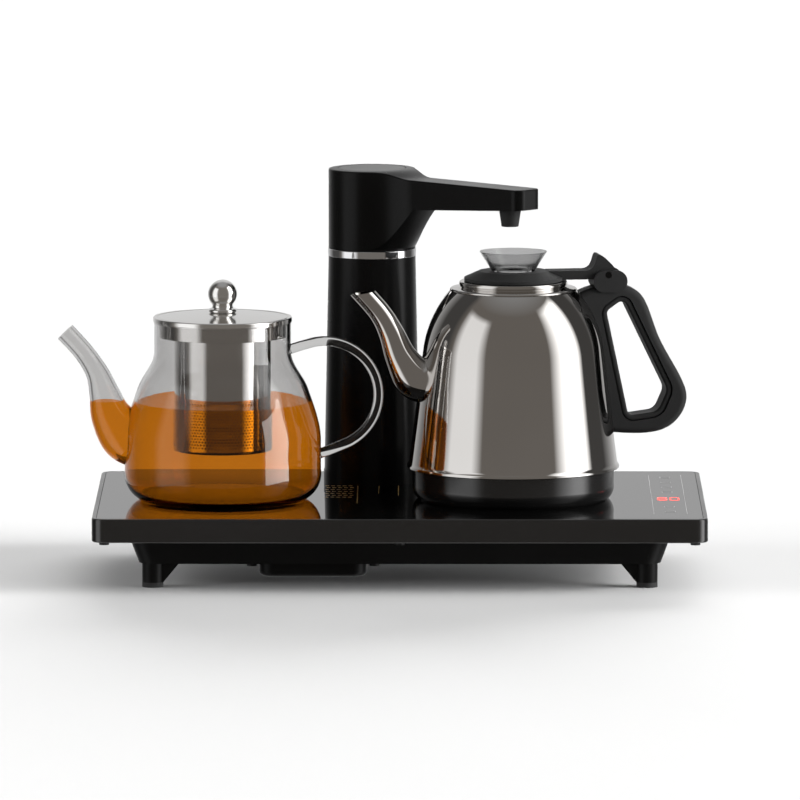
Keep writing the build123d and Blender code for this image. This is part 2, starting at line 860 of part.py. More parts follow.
# Tower base: a collar on the glass, with a hollow stud through it
with BuildPart() as tower_base:
    with BuildSketch(tower_plan(0)):
        Circle(base_radius)
    extrude(amount=base_height)
    with BuildSketch(tower_plan(base_floor)):
        Circle(column_radius_low - column_wall - column_wall)
    extrude(amount=base_height - base_floor, mode=Mode.SUBTRACT)
    with BuildSketch(tower_plan(base_height)):
        Circle(column_radius_low - column_wall - fit)
        Circle(column_radius_low - column_wall - column_wall, mode=Mode.SUBTRACT)
    extrude(amount=base_rim)
    with BuildSketch(tower_plan(0)):
        Circle(stud_radius)
    extrude(amount=-stud_length)
    with BuildSketch(tower_plan(-stud_length)):
        Circle(riser_radius + seam)
    extrude(amount=stud_length + base_floor, mode=Mode.SUBTRACT)
save(tower_base, "tower_base")

with BuildPart() as tower_washer:
    with BuildSketch(tower_plan(-glass_thickness)):
        Circle(nut_radius)
        Circle(stud_radius + seam, mode=Mode.SUBTRACT)
    extrude(amount=-washer_thickness)
save(tower_washer, "tower_washer")

with BuildPart() as tower_nut:
    with BuildSketch(tower_plan(-glass_thickness - washer_thickness)):
        RegularPolygon(nut_radius, 6)
        Circle(stud_radius + seam, mode=Mode.SUBTRACT)
    extrude(amount=-nut_height)
save(tower_nut, "tower_nut")

# Tower column: a tapered tube
with BuildPart() as tower_column:
    with BuildSketch(tower_side):
        with BuildLine():
            Polyline(
                (column_radius_low, base_height),
                (column_radius_top, column_top),
                (column_radius_top - column_wall, column_top),
                (column_radius_low - column_wall, base_height),
                close=True,
            )
        make_face()
    revolve(axis=tower_axis)
save(tower_column, "tower_column")

bush_radius = column_radius_top - column_wall - seam
with BuildPart() as chrome_ring:
    with BuildSketch(tower_plan(column_top)):
        Circle(column_radius_top + ring_stand)
        Circle(bush_radius + seam, mode=Mode.SUBTRACT)
    extrude(amount=ring_height)
    fillet(chrome_ring.edges().filter_by(GeomType.CIRCLE).group_by(SortBy.RADIUS)[-1], radius=ring_stand)
save(chrome_ring, "chrome_ring")

# Bush in the column's top, which carries the swivelling head
with BuildPart() as swivel_bush:
    with BuildSketch(tower_plan(bush_low)):
        Circle(bush_radius)
        Circle(spigot_radius + running_fit, mode=Mode.SUBTRACT)
    extrude(amount=bush_length)
save(swivel_bush, "swivel_bush")

# Riser: one bent tube from the hose to the spigot
with BuildPart() as riser_tube:
    riser_start = (tower_x, riser_tail, pump_z)
    with BuildLine() as riser_route:
        FilletPolyline(
            riser_start,
            (tower_x, tower_y, pump_z),
            (tower_x, tower_y, tray_top + riser_top),
            radius=riser_bend,
        )
    with BuildSketch(Plane(riser_start, z_dir=(0, 1, 0), x_dir=(1, 0, 0))):
        Circle(riser_radius)
        Circle(riser_bore, mode=Mode.SUBTRACT)
    sweep(path=riser_route.line)
save(riser_tube, "riser_tube")

with BuildPart() as riser_seal:
    with BuildSketch(tower_plan(riser_top - seal_drop)):
        Circle(riser_radius + seal_thickness)
        Circle(riser_radius + running_fit, mode=Mode.SUBTRACT)
    extrude(amount=seal_height)
save(riser_seal, "riser_seal")


def arm_outline(plane, inset):
    """The head from above: a round neck that flares into the arm, drawn in from its edge."""
    end = arm_length - inset
    with BuildSketch(plane) as outline:
        Circle(column_radius_top - inset)
        with Locations((end / 2, 0)):
            Rectangle(end, arm_width - 2 * inset)
        fillet(outline.vertices().group_by(Axis.X)[-1], radius=arm_corner - inset)
        fillet(outline.vertices().group_by(Axis.X)[0], radius=arm_flare + inset)
    return outline.sketch


def underside(u):
    """How high the arm's underside is at a distance from the tower's axis."""
    return flare_top + arm_rise * (u - flare_radius) / (arm_length - flare_radius)


def head_form(inset):
    """The head's whole form, or its hollow: the outline from above, cut to the neck's flare below."""
    low = head_low + inset
    neck = column_radius_top - inset
    far = arm_length + arm_width
    top = head_top - inset
    with BuildPart() as form:
        extrude(arm_outline(tower_plan(low), inset), amount=top - low)
        with BuildSketch(arm_side):
            with BuildLine():
                Line((0, low), (neck, low))
                Line((neck, low), (neck, head_low + neck_straight + inset))
                ThreePointArc(
                    (neck, head_low + neck_straight + inset),
                    (column_radius_top + flare_swell - inset, flare_middle + inset),
                    (flare_radius - inset, flare_top + inset),
                )
                Line((flare_radius - inset, flare_top + inset), (far, underside(far) + inset))
                Line((far, underside(far) + inset), (far, top - arm_drop))
                Line((far, top - arm_drop), (arm_flare, top - arm_drop))
                Spline((arm_flare, top - arm_drop), (head_crown, top), tangents=((-1, 0), (-1, 0)))
                Line((head_crown, top), (0, top))
                Line((0, top), (0, low))
            make_face()
        revolve(axis=tower_axis, mode=Mode.INTERSECT)
        if inset == 0:
            sides = form.faces().filter_by(lambda face: abs(face.normal_at().Z) < seam)
            brow = tray_top + arm_top - fit
            fillet(sides.edges().filter_by(lambda edge: edge.bounding_box().min.Z > brow), radius=head_edge)
    return form.part


def arm_opening(inset):
    """The opening under the arm, drawn in from its edge."""
    far = arm_length - head_wall - inset
    near = cover_start + inset
    with Locations(((far + near) / 2, 0)):
        Rectangle(far - near, arm_width - 2 * head_wall - 2 * inset)


# Head shell: neck and arm in one moulding, open under the arm and at the button
head_skin = head_form(0) - head_form(head_wall)
roof = head_top - head_wall
board_top = head_top - switch_board_drop
with BuildPart() as head_shell:
    add(head_skin)
    with BuildSketch(tower_plan(head_low)):
        arm_opening(0)
    extrude(amount=(underside(arm_length) + head_wall) - head_low + fit, mode=Mode.SUBTRACT)
    with BuildSketch(tower_plan(head_low)):
        Circle(spigot_radius + fit)
    extrude(amount=head_wall, mode=Mode.SUBTRACT)
    with BuildSketch(tower_plan(roof)):
        Circle(button_radius + fit)
    extrude(amount=head_wall, mode=Mode.SUBTRACT)
    with BuildSketch(tower_plan(board_top)):
        with Locations((-boss_back, 0)):
            with GridLocations(0, boss_spread, 1, 2):
                Circle(boss_radius)
    extrude(amount=roof - board_top)
save(head_shell, "head_shell")

# Cover under the arm, with the hole for the nozzle
with BuildPart() as arm_cover:
    add(head_skin)
    with BuildSketch(tower_plan(head_low)):
        arm_opening(seam)
    extrude(amount=(underside(arm_length) + head_wall) - head_low + fit, mode=Mode.INTERSECT)
    with BuildSketch(tower_plan(head_low)):
        with Locations((nozzle_reach, 0)):
            Circle(nozzle_radius + seam)
    extrude(amount=arm_top - head_low, mode=Mode.SUBTRACT)
save(arm_cover, "arm_cover")

nozzle_seat = underside(nozzle_reach + nozzle_flange_radius) + head_wall + seam
with BuildPart() as nozzle:
    with BuildSketch(tower_plan(nozzle_tip)):
        with Locations((nozzle_reach, 0)):
            Circle(nozzle_tip_radius)
    with BuildSketch(tower_plan(underside(nozzle_reach))):
        with Locations((nozzle_reach, 0)):
            Circle(nozzle_radius)
    loft()
    with BuildSketch(tower_plan(underside(nozzle_reach))):
        with Locations((nozzle_reach, 0)):
            Circle(nozzle_radius)
    extrude(amount=nozzle_seat - underside(nozzle_reach))
    with BuildSketch(tower_plan(nozzle_seat)):
        with Locations((nozzle_reach, 0)):
            Circle(nozzle_flange_radius)
    extrude(amount=nozzle_flange)
    with BuildSketch(tower_plan(nozzle_tip)):
        with Locations((nozzle_reach, 0)):
            Circle(nozzle_bore)
    extrude(amount=nozzle_seat + nozzle_flange - nozzle_tip, mode=Mode.SUBTRACT)
save(nozzle, "nozzle")

# Spigot: turns in the bush, and hangs on it by its flange and its clip
spigot_top = head_low + head_wall + spigot_flange
clip_low = bush_low - fit - clip_thickness
with BuildPart() as swivel_spigot:
    with BuildSketch(tower_plan(spigot_low)):
        Circle(spigot_radius)
    extrude(amount=spigot_top - spigot_low)
    with BuildSketch(tower_plan(head_low + head_wall)):
        Circle(spigot_flange_radius)
    extrude(amount=spigot_flange)
    with BuildSketch(tower_plan(clip_low - seam)):
        Circle(spigot_radius)
        Circle(spigot_radius - clip_groove, mode=Mode.SUBTRACT)
    extrude(amount=clip_thickness + 2 * seam, mode=Mode.SUBTRACT)
    with BuildSketch(tower_plan(spigot_low)):
        Circle(spigot_bore)
    extrude(amount=riser_top + fit - spigot_low, mode=Mode.SUBTRACT)
    with BuildSketch(tower_plan(spigot_low)):
        Circle(tube_bore)
    extrude(amount=spigot_top - spigot_low, mode=Mode.SUBTRACT)
save(swivel_spigot, "swivel_spigot")

with BuildPart() as spigot_clip:
    with BuildSketch(tower_plan(clip_low)):
        Circle(spigot_radius - clip_groove + seam + clip_width)
        Circle(spigot_radius - clip_groove + seam, mode=Mode.SUBTRACT)
        with Locations((-spigot_radius, 0)):
            Rectangle(2 * clip_width, clip_mouth, mode=Mode.SUBTRACT)
    extrude(amount=clip_thickness)
save(spigot_clip, "spigot_clip")

# Water tube through the arm, from the spigot to the nozzle
with BuildPart() as arm_tube:
    tube_z = arm_top - head_wall - tube_gap - tube_radius
    tube_start = arm_side.from_local_coords((0, spigot_top, 0))
    with BuildLine(arm_side) as tube_route:
        FilletPolyline(
            (0, spigot_top),
            (0, spigot_top + 3 * tube_bend),
            (cover_start, tube_z),
            (nozzle_reach, tube_z),
            (nozzle_reach, nozzle_seat + nozzle_flange),
            radius=[2 * tube_bend, 2 * tube_bend, tube_bend],
        )
    with BuildSketch(Plane(tube_start, z_dir=(0, 0, 1))):
        Circle(tube_radius)
        Circle(tube_bore, mode=Mode.SUBTRACT)
    sweep(path=tube_route.line)
save(arm_tube, "arm_tube")

# Push button in the head's top, and the switch board under it
button_low = head_top - button_height
with BuildPart() as fill_button:
    with BuildSketch(tower_plan(button_low)):
        Circle(button_radius)
    extrude(amount=button_height)
    fillet(fill_button.faces().sort_by(Axis.Z)[-1].edges(), radius=fit)
    with BuildSketch(tower_plan(board_top + switch_height + button_travel + fit)):
        Circle(button_stem)
    extrude(amount=button_low - board_top - switch_height - button_travel - fit)
save(fill_button, "fill_button")

with BuildPart() as switch_board:
    with BuildSketch(tower_plan(board_top)):
        Circle(column_radius_top - head_wall - fit)
        Rectangle(switch_board_length, 2 * column_radius_top, mode=Mode.INTERSECT)
    extrude(amount=-board_thickness)
    with BuildSketch(tower_plan(board_top)):
        Rectangle(switch_size, switch_size)
    extrude(amount=switch_height)
save(switch_board, "switch_board")


def kettle_form(inset):
    """The kettle's whole form, or its hollow: a tapered side that rounds over to the mouth."""
    low = (body_radius_low - inset, body_low)
    high = (body_radius_high - inset, body_high)
    with BuildPart() as form:
        with BuildSketch(kettle_side):
            with BuildLine():
                Line((0, kettle_base_height), (rim_radius - inset, kettle_base_height))
                rim = (rim_radius - inset, kettle_base_height + rim_height)
                Line((rim_radius - inset, kettle_base_height), rim)
                Line(rim, low)
                Line(low, high)
                lean = (high[0] - low[0], high[1] - low[1])
                TangentArc(high, (mouth_radius - inset, mouth_height), tangent=lean)
                Line((mouth_radius - inset, mouth_height), (0, mouth_height))
                Line((0, mouth_height), (0, kettle_base_height))
            make_face()
        revolve(axis=kettle_axis)
    return form.part


def tube_form(plane, stations, radii):
    """A bent and tapered tube: a loft through circles that stand across its middle line."""
    places = [Vector(*station) for station in stations]
    last = len(places) - 1
    with BuildPart() as form:
        for i, place in enumerate(places):
            along = (places[min(i + 1, last)] - places[max(i - 1, 0)]).normalized()
            origin = plane.from_local_coords(place)
            ahead = plane.from_local_coords(place + along) - origin
            with BuildSketch(Plane(origin, x_dir=plane.z_dir, z_dir=ahead)):
                Circle(radii[i])
        loft()
    return form.part


# Kettle body and its spout, welded together round the hole between them
spout_line = [spout_root, spout_heel, spout_knee, spout_neck, spout_bend, spout_tip]
spout_places = [(-x, z) for x, z in spout_line]
spout_radii = [
    spout_root_radius,
    spout_heel_radius,
    spout_knee_radius,
    spout_neck_radius,
    spout_bend_radius,
    spout_tip_radius,
]
spout_hollow = tube_form(kettle_side, spout_places, [r - spout_wall for r in spout_radii])
with BuildPart() as kettle_body:
    add(kettle_form(0))
    add(kettle_form(steel), mode=Mode.SUBTRACT)
    add(spout_hollow, mode=Mode.SUBTRACT)
save(kettle_body, "kettle_body")

with BuildPart() as kettle_spout:
    add(tube_form(kettle_side, spout_places, spout_radii))
    add(spout_hollow, mode=Mode.SUBTRACT)
    add(kettle_form(-seam), mode=Mode.SUBTRACT)
    # the mouth is cut nearly level
    lip_span = 4 * spout_tip_radius
    with BuildSketch(kettle_side):
        with BuildLine():
            Polyline(
                (-spout_lip[0] - lip_span, spout_lip[1] - lip_span * spout_lip_slope),
                (-spout_lip[0] + lip_span, spout_lip[1] + lip_span * spout_lip_slope),
                (-spout_lip[0], spout_lip[1] + lip_span),
                close=True,
            )
        make_face()
    extrude(amount=lip_span, both=True, mode=Mode.SUBTRACT)
save(kettle_spout, "kettle_spout")

# Mouth ring: a beaded steel collar in the body's top
with BuildPart() as mouth_ring:
    with BuildSketch(kettle_side):
        with BuildLine():
            Polyline(
                (neck_bore, mouth_height - mouth_bead),
                (neck_bore + steel, mouth_height - mouth_bead),
                (neck_bore + steel, mouth_height),
                (mouth_radius, mouth_height),
                (mouth_radius, mouth_height + mouth_bead),
                (neck_radius, mouth_height + 2 * mouth_bead),
                (neck_radius, neck_height),
                (neck_bore, neck_height),
                close=True,
            )
        make_face()
    revolve(axis=kettle_axis)
    beads = mouth_ring.edges().filter_by(GeomType.CIRCLE).group_by(SortBy.RADIUS)[-1]
    fillet(beads, radius=mouth_bead / 3)
save(mouth_ring, "mouth_ring")

with BuildPart() as heating_plate:
    with BuildSketch(kettle_plan(kettle_base_height)):
        Circle(plate_radius)
    extrude(amount=plate_thickness)
save(heating_plate, "heating_plate")

# Kettle base: a ring-shaped channel that the kettle stands on, open in the middle for the socket
with BuildPart() as kettle_base:
    collar_out = socket_radius + fit + socket_collar
    with BuildSketch(kettle_side):
        with BuildLine():
            Polyline(
                (socket_radius + fit, 0),
                (foot_ring_radius - foot_ring_edge, 0),
                (foot_ring_radius, foot_ring_edge),
                (kettle_base_radius, kettle_base_height),
                (kettle_base_radius - kettle_base_wall, kettle_base_height),
                (foot_ring_radius - kettle_base_wall, kettle_base_wall),
                (collar_out, kettle_base_wall),
                (collar_out, socket_top),
                (socket_radius + fit, socket_top),
                close=True,
            )
        make_face()
    revolve(axis=kettle_axis)
save(kettle_base, "kettle_base")

# Power plug in the tray, with a ring slot and a middle hole
with BuildPart() as power_plug:
    with BuildSketch(kettle_plan(-glass_thickness - plug_flange)):
        Circle(plug_flange_radius)
    extrude(amount=plug_flange)
    with BuildSketch(kettle_plan(-glass_thickness)):
        Circle(plug_radius)
    extrude(amount=glass_thickness + plug_height)
    with BuildSketch(kettle_plan(plug_height)):
        Circle(plug_slot_radius)
        Circle(plug_slot_radius - plug_slot_width, mode=Mode.SUBTRACT)
        Circle(plug_pin_hole)
    extrude(amount=-plug_slot_depth, mode=Mode.SUBTRACT)
    with BuildSketch(kettle_plan(plug_height)):
        Circle(plug_pin_hole)
    extrude(amount=-plug_height, mode=Mode.SUBTRACT)
save(power_plug, "power_plug")

# Power socket in the kettle's base, which turns and lifts off the plug
with BuildPart() as power_socket:
    with BuildSketch(kettle_plan(socket_low)):
        Circle(socket_radius)
    extrude(amount=socket_top - socket_low)
    with BuildSketch(kettle_plan(socket_low)):
        Circle(plug_radius + fit)
        Circle(plug_pin_radius, mode=Mode.SUBTRACT)
    extrude(amount=socket_top - socket_ceiling - socket_low, mode=Mode.SUBTRACT)
save(power_socket, "power_socket")

with BuildPart() as thermostat:
    with BuildSketch(kettle_plan(kettle_base_height)):
        Circle(thermostat_radius)
    extrude(amount=socket_top + fit - kettle_base_height)
save(thermostat, "thermostat")


def grip_outline(band):
    """The finger opening of the kettle's handle, let out by a band."""
    with BuildSketch(kettle_side) as outline:
        with BuildLine():
            FilletPolyline(
                grip_left,
                grip_top,
                grip_right,
                grip_low,
                grip_foot,
                radius=[grip_corner, grip_corner, 2 * grip_corner, 2 * grip_corner, grip_corner],
                close=True,
            )
        make_face()
        if band > 0:
            offset(amount=band)
    return outline.sketch


def stud_bar(end, gap):
    """A bar from the kettle's axis out to a stud's end, let out by a gap."""
    middle = kettle_side.from_local_coords((0, end[1], 0))
    with BuildPart() as bar:
        with BuildSketch(Plane(middle, z_dir=kettle_side.x_dir, x_dir=(0, 0, 1))):
            Circle(stud_bolt_radius + gap)
        extrude(amount=end[0] + gap)
    return bar.part


# Kettle handle: a D-shaped loop along the body, with two ears for the lid's pin
ear_middle = (hinge_x + ear_offset, hinge_z - ear_drop)
pin_plane = Plane(
    kettle_side.from_local_coords((hinge_x, hinge_z, 0)), x_dir=kettle_side.x_dir, z_dir=kettle_side.z_dir
)
with BuildPart() as kettle_handle:
    inside = body_radius_high / 2
    with BuildSketch(kettle_side):
        with BuildLine():
            Spline(
                (inside, handle_top - 4 * handle_round),
                (hinge_x, handle_top),
                handle_shoulder,
                handle_nape,
                handle_waist,
                handle_hip,
                (handle_reach, handle_belly),
                handle_heel,
                handle_toe,
                (inside, handle_toe[1] + handle_round),
            )
            Line((inside, handle_toe[1] + handle_round), (inside, handle_top - 4 * handle_round))
        make_face()
    extrude(amount=handle_depth / 2, both=True)
    flanks = kettle_handle.faces().filter_by(Plane(kettle_side.origin, z_dir=kettle_side.z_dir))
    fillet(flanks.edges(), radius=handle_round)
    extrude(grip_outline(grip_band + seam), amount=handle_depth, both=True, mode=Mode.SUBTRACT)
    with BuildSketch(kettle_side):
        with Locations(ear_middle):
            SlotOverall(ear_length, ear_height)
    extrude(amount=lid_arm / 2 + fit + ear_thickness, both=True)
    with BuildSketch(pin_plane):
        Circle(barrel_radius + fit)
        with Locations((0, ear_height)):
            Rectangle(2 * ear_length, 2 * ear_height)
        with Locations((-ear_length, ear_height / 2)):
            Rectangle(2 * ear_length, 2 * (hinge_z - lid_arm_low) + ear_height)
    extrude(amount=lid_arm / 2 + fit, both=True, mode=Mode.SUBTRACT)
    with BuildSketch(pin_plane):
        Circle(pin_radius + running_fit)
    extrude(amount=handle_depth, both=True, mode=Mode.SUBTRACT)
    add(kettle_form(-seam), mode=Mode.SUBTRACT)
    add(stud_bar(stud_bolt_low, seam), mode=Mode.SUBTRACT)
    add(stud_bar(stud_bolt_high, seam), mode=Mode.SUBTRACT)
save(kettle_handle, "kettle_handle")

# Grip: the inner band of the handle, round the finger opening
with BuildPart() as handle_grip:
    extrude(grip_outline(grip_band), amount=grip_depth / 2, both=True)
    extrude(grip_outline(0), amount=handle_depth, both=True, mode=Mode.SUBTRACT)
    flanks = handle_grip.faces().filter_by(Plane(kettle_side.origin, z_dir=kettle_side.z_dir))
    fillet(flanks.edges(), radius=grip_round)
save(handle_grip, "handle_grip")

# Studs on the kettle's wall, which hold the handle
with BuildPart() as handle_studs:
    add(stud_bar(stud_bolt_low, 0))
    add(stud_bar(stud_bolt_high, 0))
    add(kettle_form(-seam), mode=Mode.SUBTRACT)
save(handle_studs, "handle_studs")

with BuildPart() as hinge_pin:
    with BuildSketch(pin_plane):
        Circle(pin_radius)
    extrude(amount=lid_arm / 2 + fit + ear_thickness, both=True)
save(hinge_pin, "hinge_pin")

# Kettle lid: a disc with a skirt, and an arm to the hinge with a thumb tab
lid_low = neck_height + fit
lid_hole = funnel_spigot + seam
with BuildPart() as kettle_lid:
    with BuildSketch(kettle_side):
        with BuildLine():
            Polyline(
                (lid_hole, lid_low),
                (skirt_radius - skirt_wall, lid_low),
                (skirt_radius - skirt_wall, skirt_low),
                (skirt_radius, skirt_low),
                (skirt_radius, lid_low),
                (lid_radius, lid_low),
                (lid_radius, lid_low + lid_edge),
                (lid_flat, lid_top),
                (lid_hole, lid_top),
                close=True,
            )
        make_face()
    revolve(axis=kettle_axis)
    with BuildSketch(kettle_side):
        with BuildLine():
            Polyline(
                (thumb_start, lid_top),
                (lid_flat, lid_top),
                (lid_flat, lid_arm_low),
                (hinge_x, lid_arm_low),
                (hinge_x + barrel_radius, hinge_z),
            )
            Spline(
                (hinge_x + barrel_radius, hinge_z),
                thumb_back,
                thumb_peak,
                (thumb_start, lid_top),
                tangents=((0, 1), (-1, 0)),
            )
        make_face()
        with Locations((hinge_x, hinge_z)):
            Circle(barrel_radius)
    extrude(amount=lid_arm / 2, both=True)
    with BuildSketch(pin_plane):
        Circle(pin_radius + running_fit)
    extrude(amount=lid_arm, both=True, mode=Mode.SUBTRACT)
save(kettle_lid, "kettle_lid")

with BuildPart() as lid_gasket:
    with BuildSketch(kettle_plan(gasket_low)):
        Circle(gasket_radius)
        Circle(skirt_radius + seam, mode=Mode.SUBTRACT)
    extrude(amount=gasket_height)
save(lid_gasket, "lid_gasket")

with BuildPart() as lid_liner:
    with BuildSketch(kettle_plan(skirt_low)):
        Circle(skirt_radius)
        Circle(funnel_bore, mode=Mode.SUBTRACT)
    extrude(amount=-liner_thickness)
save(lid_liner, "lid_liner")

# Clear funnel in the lid
with BuildPart() as lid_funnel:
    with BuildSketch(kettle_side):
        with BuildLine():
            Polyline(
                (funnel_bore, lid_low - funnel_wall),
                (funnel_spigot, lid_low - funnel_wall),
                (funnel_spigot, lid_top),
                (funnel_foot, lid_top),
                (funnel_radius, funnel_height),
                (funnel_radius - funnel_wall, funnel_height),
                (funnel_foot - funnel_wall, lid_top + funnel_wall),
                (funnel_bore, lid_top + funnel_wall),
                close=True,
            )
        make_face()
    revolve(axis=kettle_axis)
save(lid_funnel, "lid_funnel")


def pot_form(inset, floor):
    """The teapot's whole form, or its hollow above a floor: a round belly drawn in to a straight neck."""
    foot = (pot_foot - inset, floor)
    swell = (pot_radius - inset, pot_swell)
    belly = (pot_radius - inset, pot_belly)
    neck = (pot_neck - inset, pot_neck_low)
    top = (pot_neck - inset, pot_height)
    with BuildPart() as form:
        with BuildSketch(teapot_side):
            with BuildLine():
                Line((0, floor), foot)
                ThreePointArc(foot, (pot_heel[0] - inset, pot_heel[1] + floor / 2), swell)
                Line(swell, belly)
                shoulder = (pot_shoulder[0] - inset, pot_shoulder[1])
                Spline(belly, shoulder, neck, tangents=((0, 1), (0, 1)))
                Line(neck, top)
                Line(top, (0, pot_height))
                Line((0, pot_height), (0, floor))
            make_face()
        revolve(axis=teapot_axis)
    return form.part


# Teapot: a blown body, a spout and a rod handle, fused together
beak_line = [beak_root, beak_heel, beak_belly, beak_neck, beak_bend, beak_throat, beak_tip]
beak_places = [(-x, z) for x, z in beak_line]
beak_radii = [
    beak_root_radius,
    beak_heel_radius,
    beak_belly_radius,
    beak_neck_radius,
    beak_bend_radius,
    beak_throat_radius,
    beak_tip_radius,
]
beak_hollow = tube_form(teapot_side, beak_places, [r - glass_wall for r in beak_radii])
with BuildPart() as teapot_body:
    add(pot_form(0, 0))
    add(pot_form(glass_wall, glass_floor), mode=Mode.SUBTRACT)
    add(beak_hollow, mode=Mode.SUBTRACT)
save(teapot_body, "teapot_body")

with BuildPart() as teapot_spout:
    add(tube_form(teapot_side, beak_places, beak_radii))
    add(beak_hollow, mode=Mode.SUBTRACT)
    add(pot_form(-seam, 0), mode=Mode.SUBTRACT)
save(teapot_spout, "teapot_spout")

with BuildPart() as teapot_handle:
    with BuildLine(teapot_side) as rod_route:
        bow = CenterArc((loop_x, loop_z), loop_radius, loop_start, loop_end - loop_start)
        Line(bow @ 0, (bow @ 0) - (bow % 0) * loop_lead)
        Line(bow @ 1, (bow @ 1) + (bow % 1) * loop_tail)
    lead = (bow @ 0) - (bow % 0) * loop_lead
    with BuildSketch(Plane(lead, z_dir=bow % 0)):
        Circle(rod_radius)
    sweep(path=rod_route.wires()[0])
    add(pot_form(-seam, 0), mode=Mode.SUBTRACT)
save(teapot_handle, "teapot_handle")

# Infuser: a steel basket that hangs on the teapot's rim
with BuildPart() as infuser:
    with BuildSketch(teapot_side):
        with BuildLine():
            Polyline(
                (0, basket_low),
                (basket_radius, basket_low),
                (basket_radius, collar_low),
                (collar_radius, collar_low),
                (collar_radius, pot_height),
                (infuser_flange, pot_height),
                (infuser_flange, pot_height + mesh_steel),
                (collar_radius - mesh_steel, pot_height + mesh_steel),
                (collar_radius - mesh_steel, collar_low + mesh_steel),
                (basket_radius - mesh_steel, collar_low + mesh_steel),
                (basket_radius - mesh_steel, basket_low + mesh_steel),
                (0, basket_low + mesh_steel),
                close=True,
            )
        make_face()
    revolve(axis=teapot_axis)
save(infuser, "infuser")


def pot_lid_form(inset):
    """The teapot lid's crowned disc, or its hollow."""
    low = pot_height + mesh_steel
    edge = low + pot_lid_edge - inset
    with BuildPart() as form:
        with BuildSketch(teapot_side):
            with BuildLine():
                Line((0, low), (pot_lid_radius - inset, low))
                Line((pot_lid_radius - inset, low), (pot_lid_radius - inset, edge))
                TangentArc((0, edge + pot_lid_crown), (pot_lid_radius - inset, edge), tangent=(1, 0))
                Line((0, edge + pot_lid_crown), (0, low))
            make_face()
        revolve(axis=teapot_axis)
    return form.part


# Teapot lid: a pressed dome with a skirt, its knob and the knob's screw
pot_lid_top = pot_height + mesh_steel + pot_lid_edge + pot_lid_crown
with BuildPart() as teapot_lid:
    add(pot_lid_form(0))
    add(pot_lid_form(pot_lid_steel), mode=Mode.SUBTRACT)
    with BuildSketch(teapot_plan(pot_lid_skirt_low)):
        Circle(pot_lid_skirt)
        Circle(pot_lid_skirt - pot_lid_steel, mode=Mode.SUBTRACT)
    extrude(amount=pot_height + mesh_steel + pot_lid_edge - pot_lid_skirt_low)
    with BuildSketch(teapot_plan(pot_height)):
        Circle(knob_screw_radius + seam)
    extrude(amount=2 * pot_lid_crown + pot_lid_edge, mode=Mode.SUBTRACT)
save(teapot_lid, "teapot_lid")

knob_middle = pot_lid_top + knob_rise
ball_low = knob_middle - (knob_radius**2 - knob_neck**2) ** 0.5
with BuildPart() as lid_knob:
    with BuildSketch(teapot_side):
        with BuildLine():
            Line((0, pot_lid_top), (knob_foot, pot_lid_top))
            Line((knob_foot, pot_lid_top), (knob_foot, pot_lid_top + knob_edge))
            RadiusArc((knob_foot, pot_lid_top + knob_edge), (knob_neck, ball_low), -knob_foot)
            ThreePointArc((knob_neck, ball_low), (knob_radius, knob_middle), (0, knob_middle + knob_radius))
            Line((0, knob_middle + knob_radius), (0, pot_lid_top))
        make_face()
    revolve(axis=teapot_axis)
    with BuildSketch(teapot_plan(pot_lid_top)):
        Circle(knob_screw_radius + seam)
    extrude(amount=knob_screw_grip, mode=Mode.SUBTRACT)
save(lid_knob, "lid_knob")

knob_screw_low = pot_lid_top - pot_lid_steel - seam
with BuildPart() as knob_screw:
    with BuildSketch(teapot_plan(knob_screw_low)):
        Circle(knob_screw_head)
    extrude(amount=-knob_screw_radius)
    with BuildSketch(teapot_plan(knob_screw_low)):
        Circle(knob_screw_radius)
    extrude(amount=pot_lid_steel + knob_screw_grip)
save(knob_screw, "knob_screw")
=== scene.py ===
import json
import math

import bmesh
import bpy
from mathutils import Matrix, Vector


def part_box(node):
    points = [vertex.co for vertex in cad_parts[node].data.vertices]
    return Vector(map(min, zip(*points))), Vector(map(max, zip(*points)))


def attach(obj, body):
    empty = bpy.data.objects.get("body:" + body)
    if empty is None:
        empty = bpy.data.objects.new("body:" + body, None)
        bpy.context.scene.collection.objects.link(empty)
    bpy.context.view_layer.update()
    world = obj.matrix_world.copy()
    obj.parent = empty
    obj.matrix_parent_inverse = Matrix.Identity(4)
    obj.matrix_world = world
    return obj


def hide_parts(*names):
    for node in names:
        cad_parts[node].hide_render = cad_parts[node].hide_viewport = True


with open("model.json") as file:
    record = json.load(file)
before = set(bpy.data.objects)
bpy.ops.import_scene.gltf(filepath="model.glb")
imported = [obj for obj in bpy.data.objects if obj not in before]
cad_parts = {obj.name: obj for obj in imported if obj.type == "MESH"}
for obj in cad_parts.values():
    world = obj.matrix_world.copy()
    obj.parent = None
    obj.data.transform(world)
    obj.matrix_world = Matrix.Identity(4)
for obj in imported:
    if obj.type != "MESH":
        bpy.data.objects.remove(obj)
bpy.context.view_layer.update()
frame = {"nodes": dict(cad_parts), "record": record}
nodes = frame["nodes"]
mm = 0.001
print("frame loaded:", len(nodes), "nodes")


def middleOf(node):
    low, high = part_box(node)
    return (low + high) / 2


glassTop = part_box("glass_panel")[1].z
trayMiddle = middleOf("glass_panel")
kettleAxis = middleOf("kettle_base")
teapotAxis = middleOf("infuser")


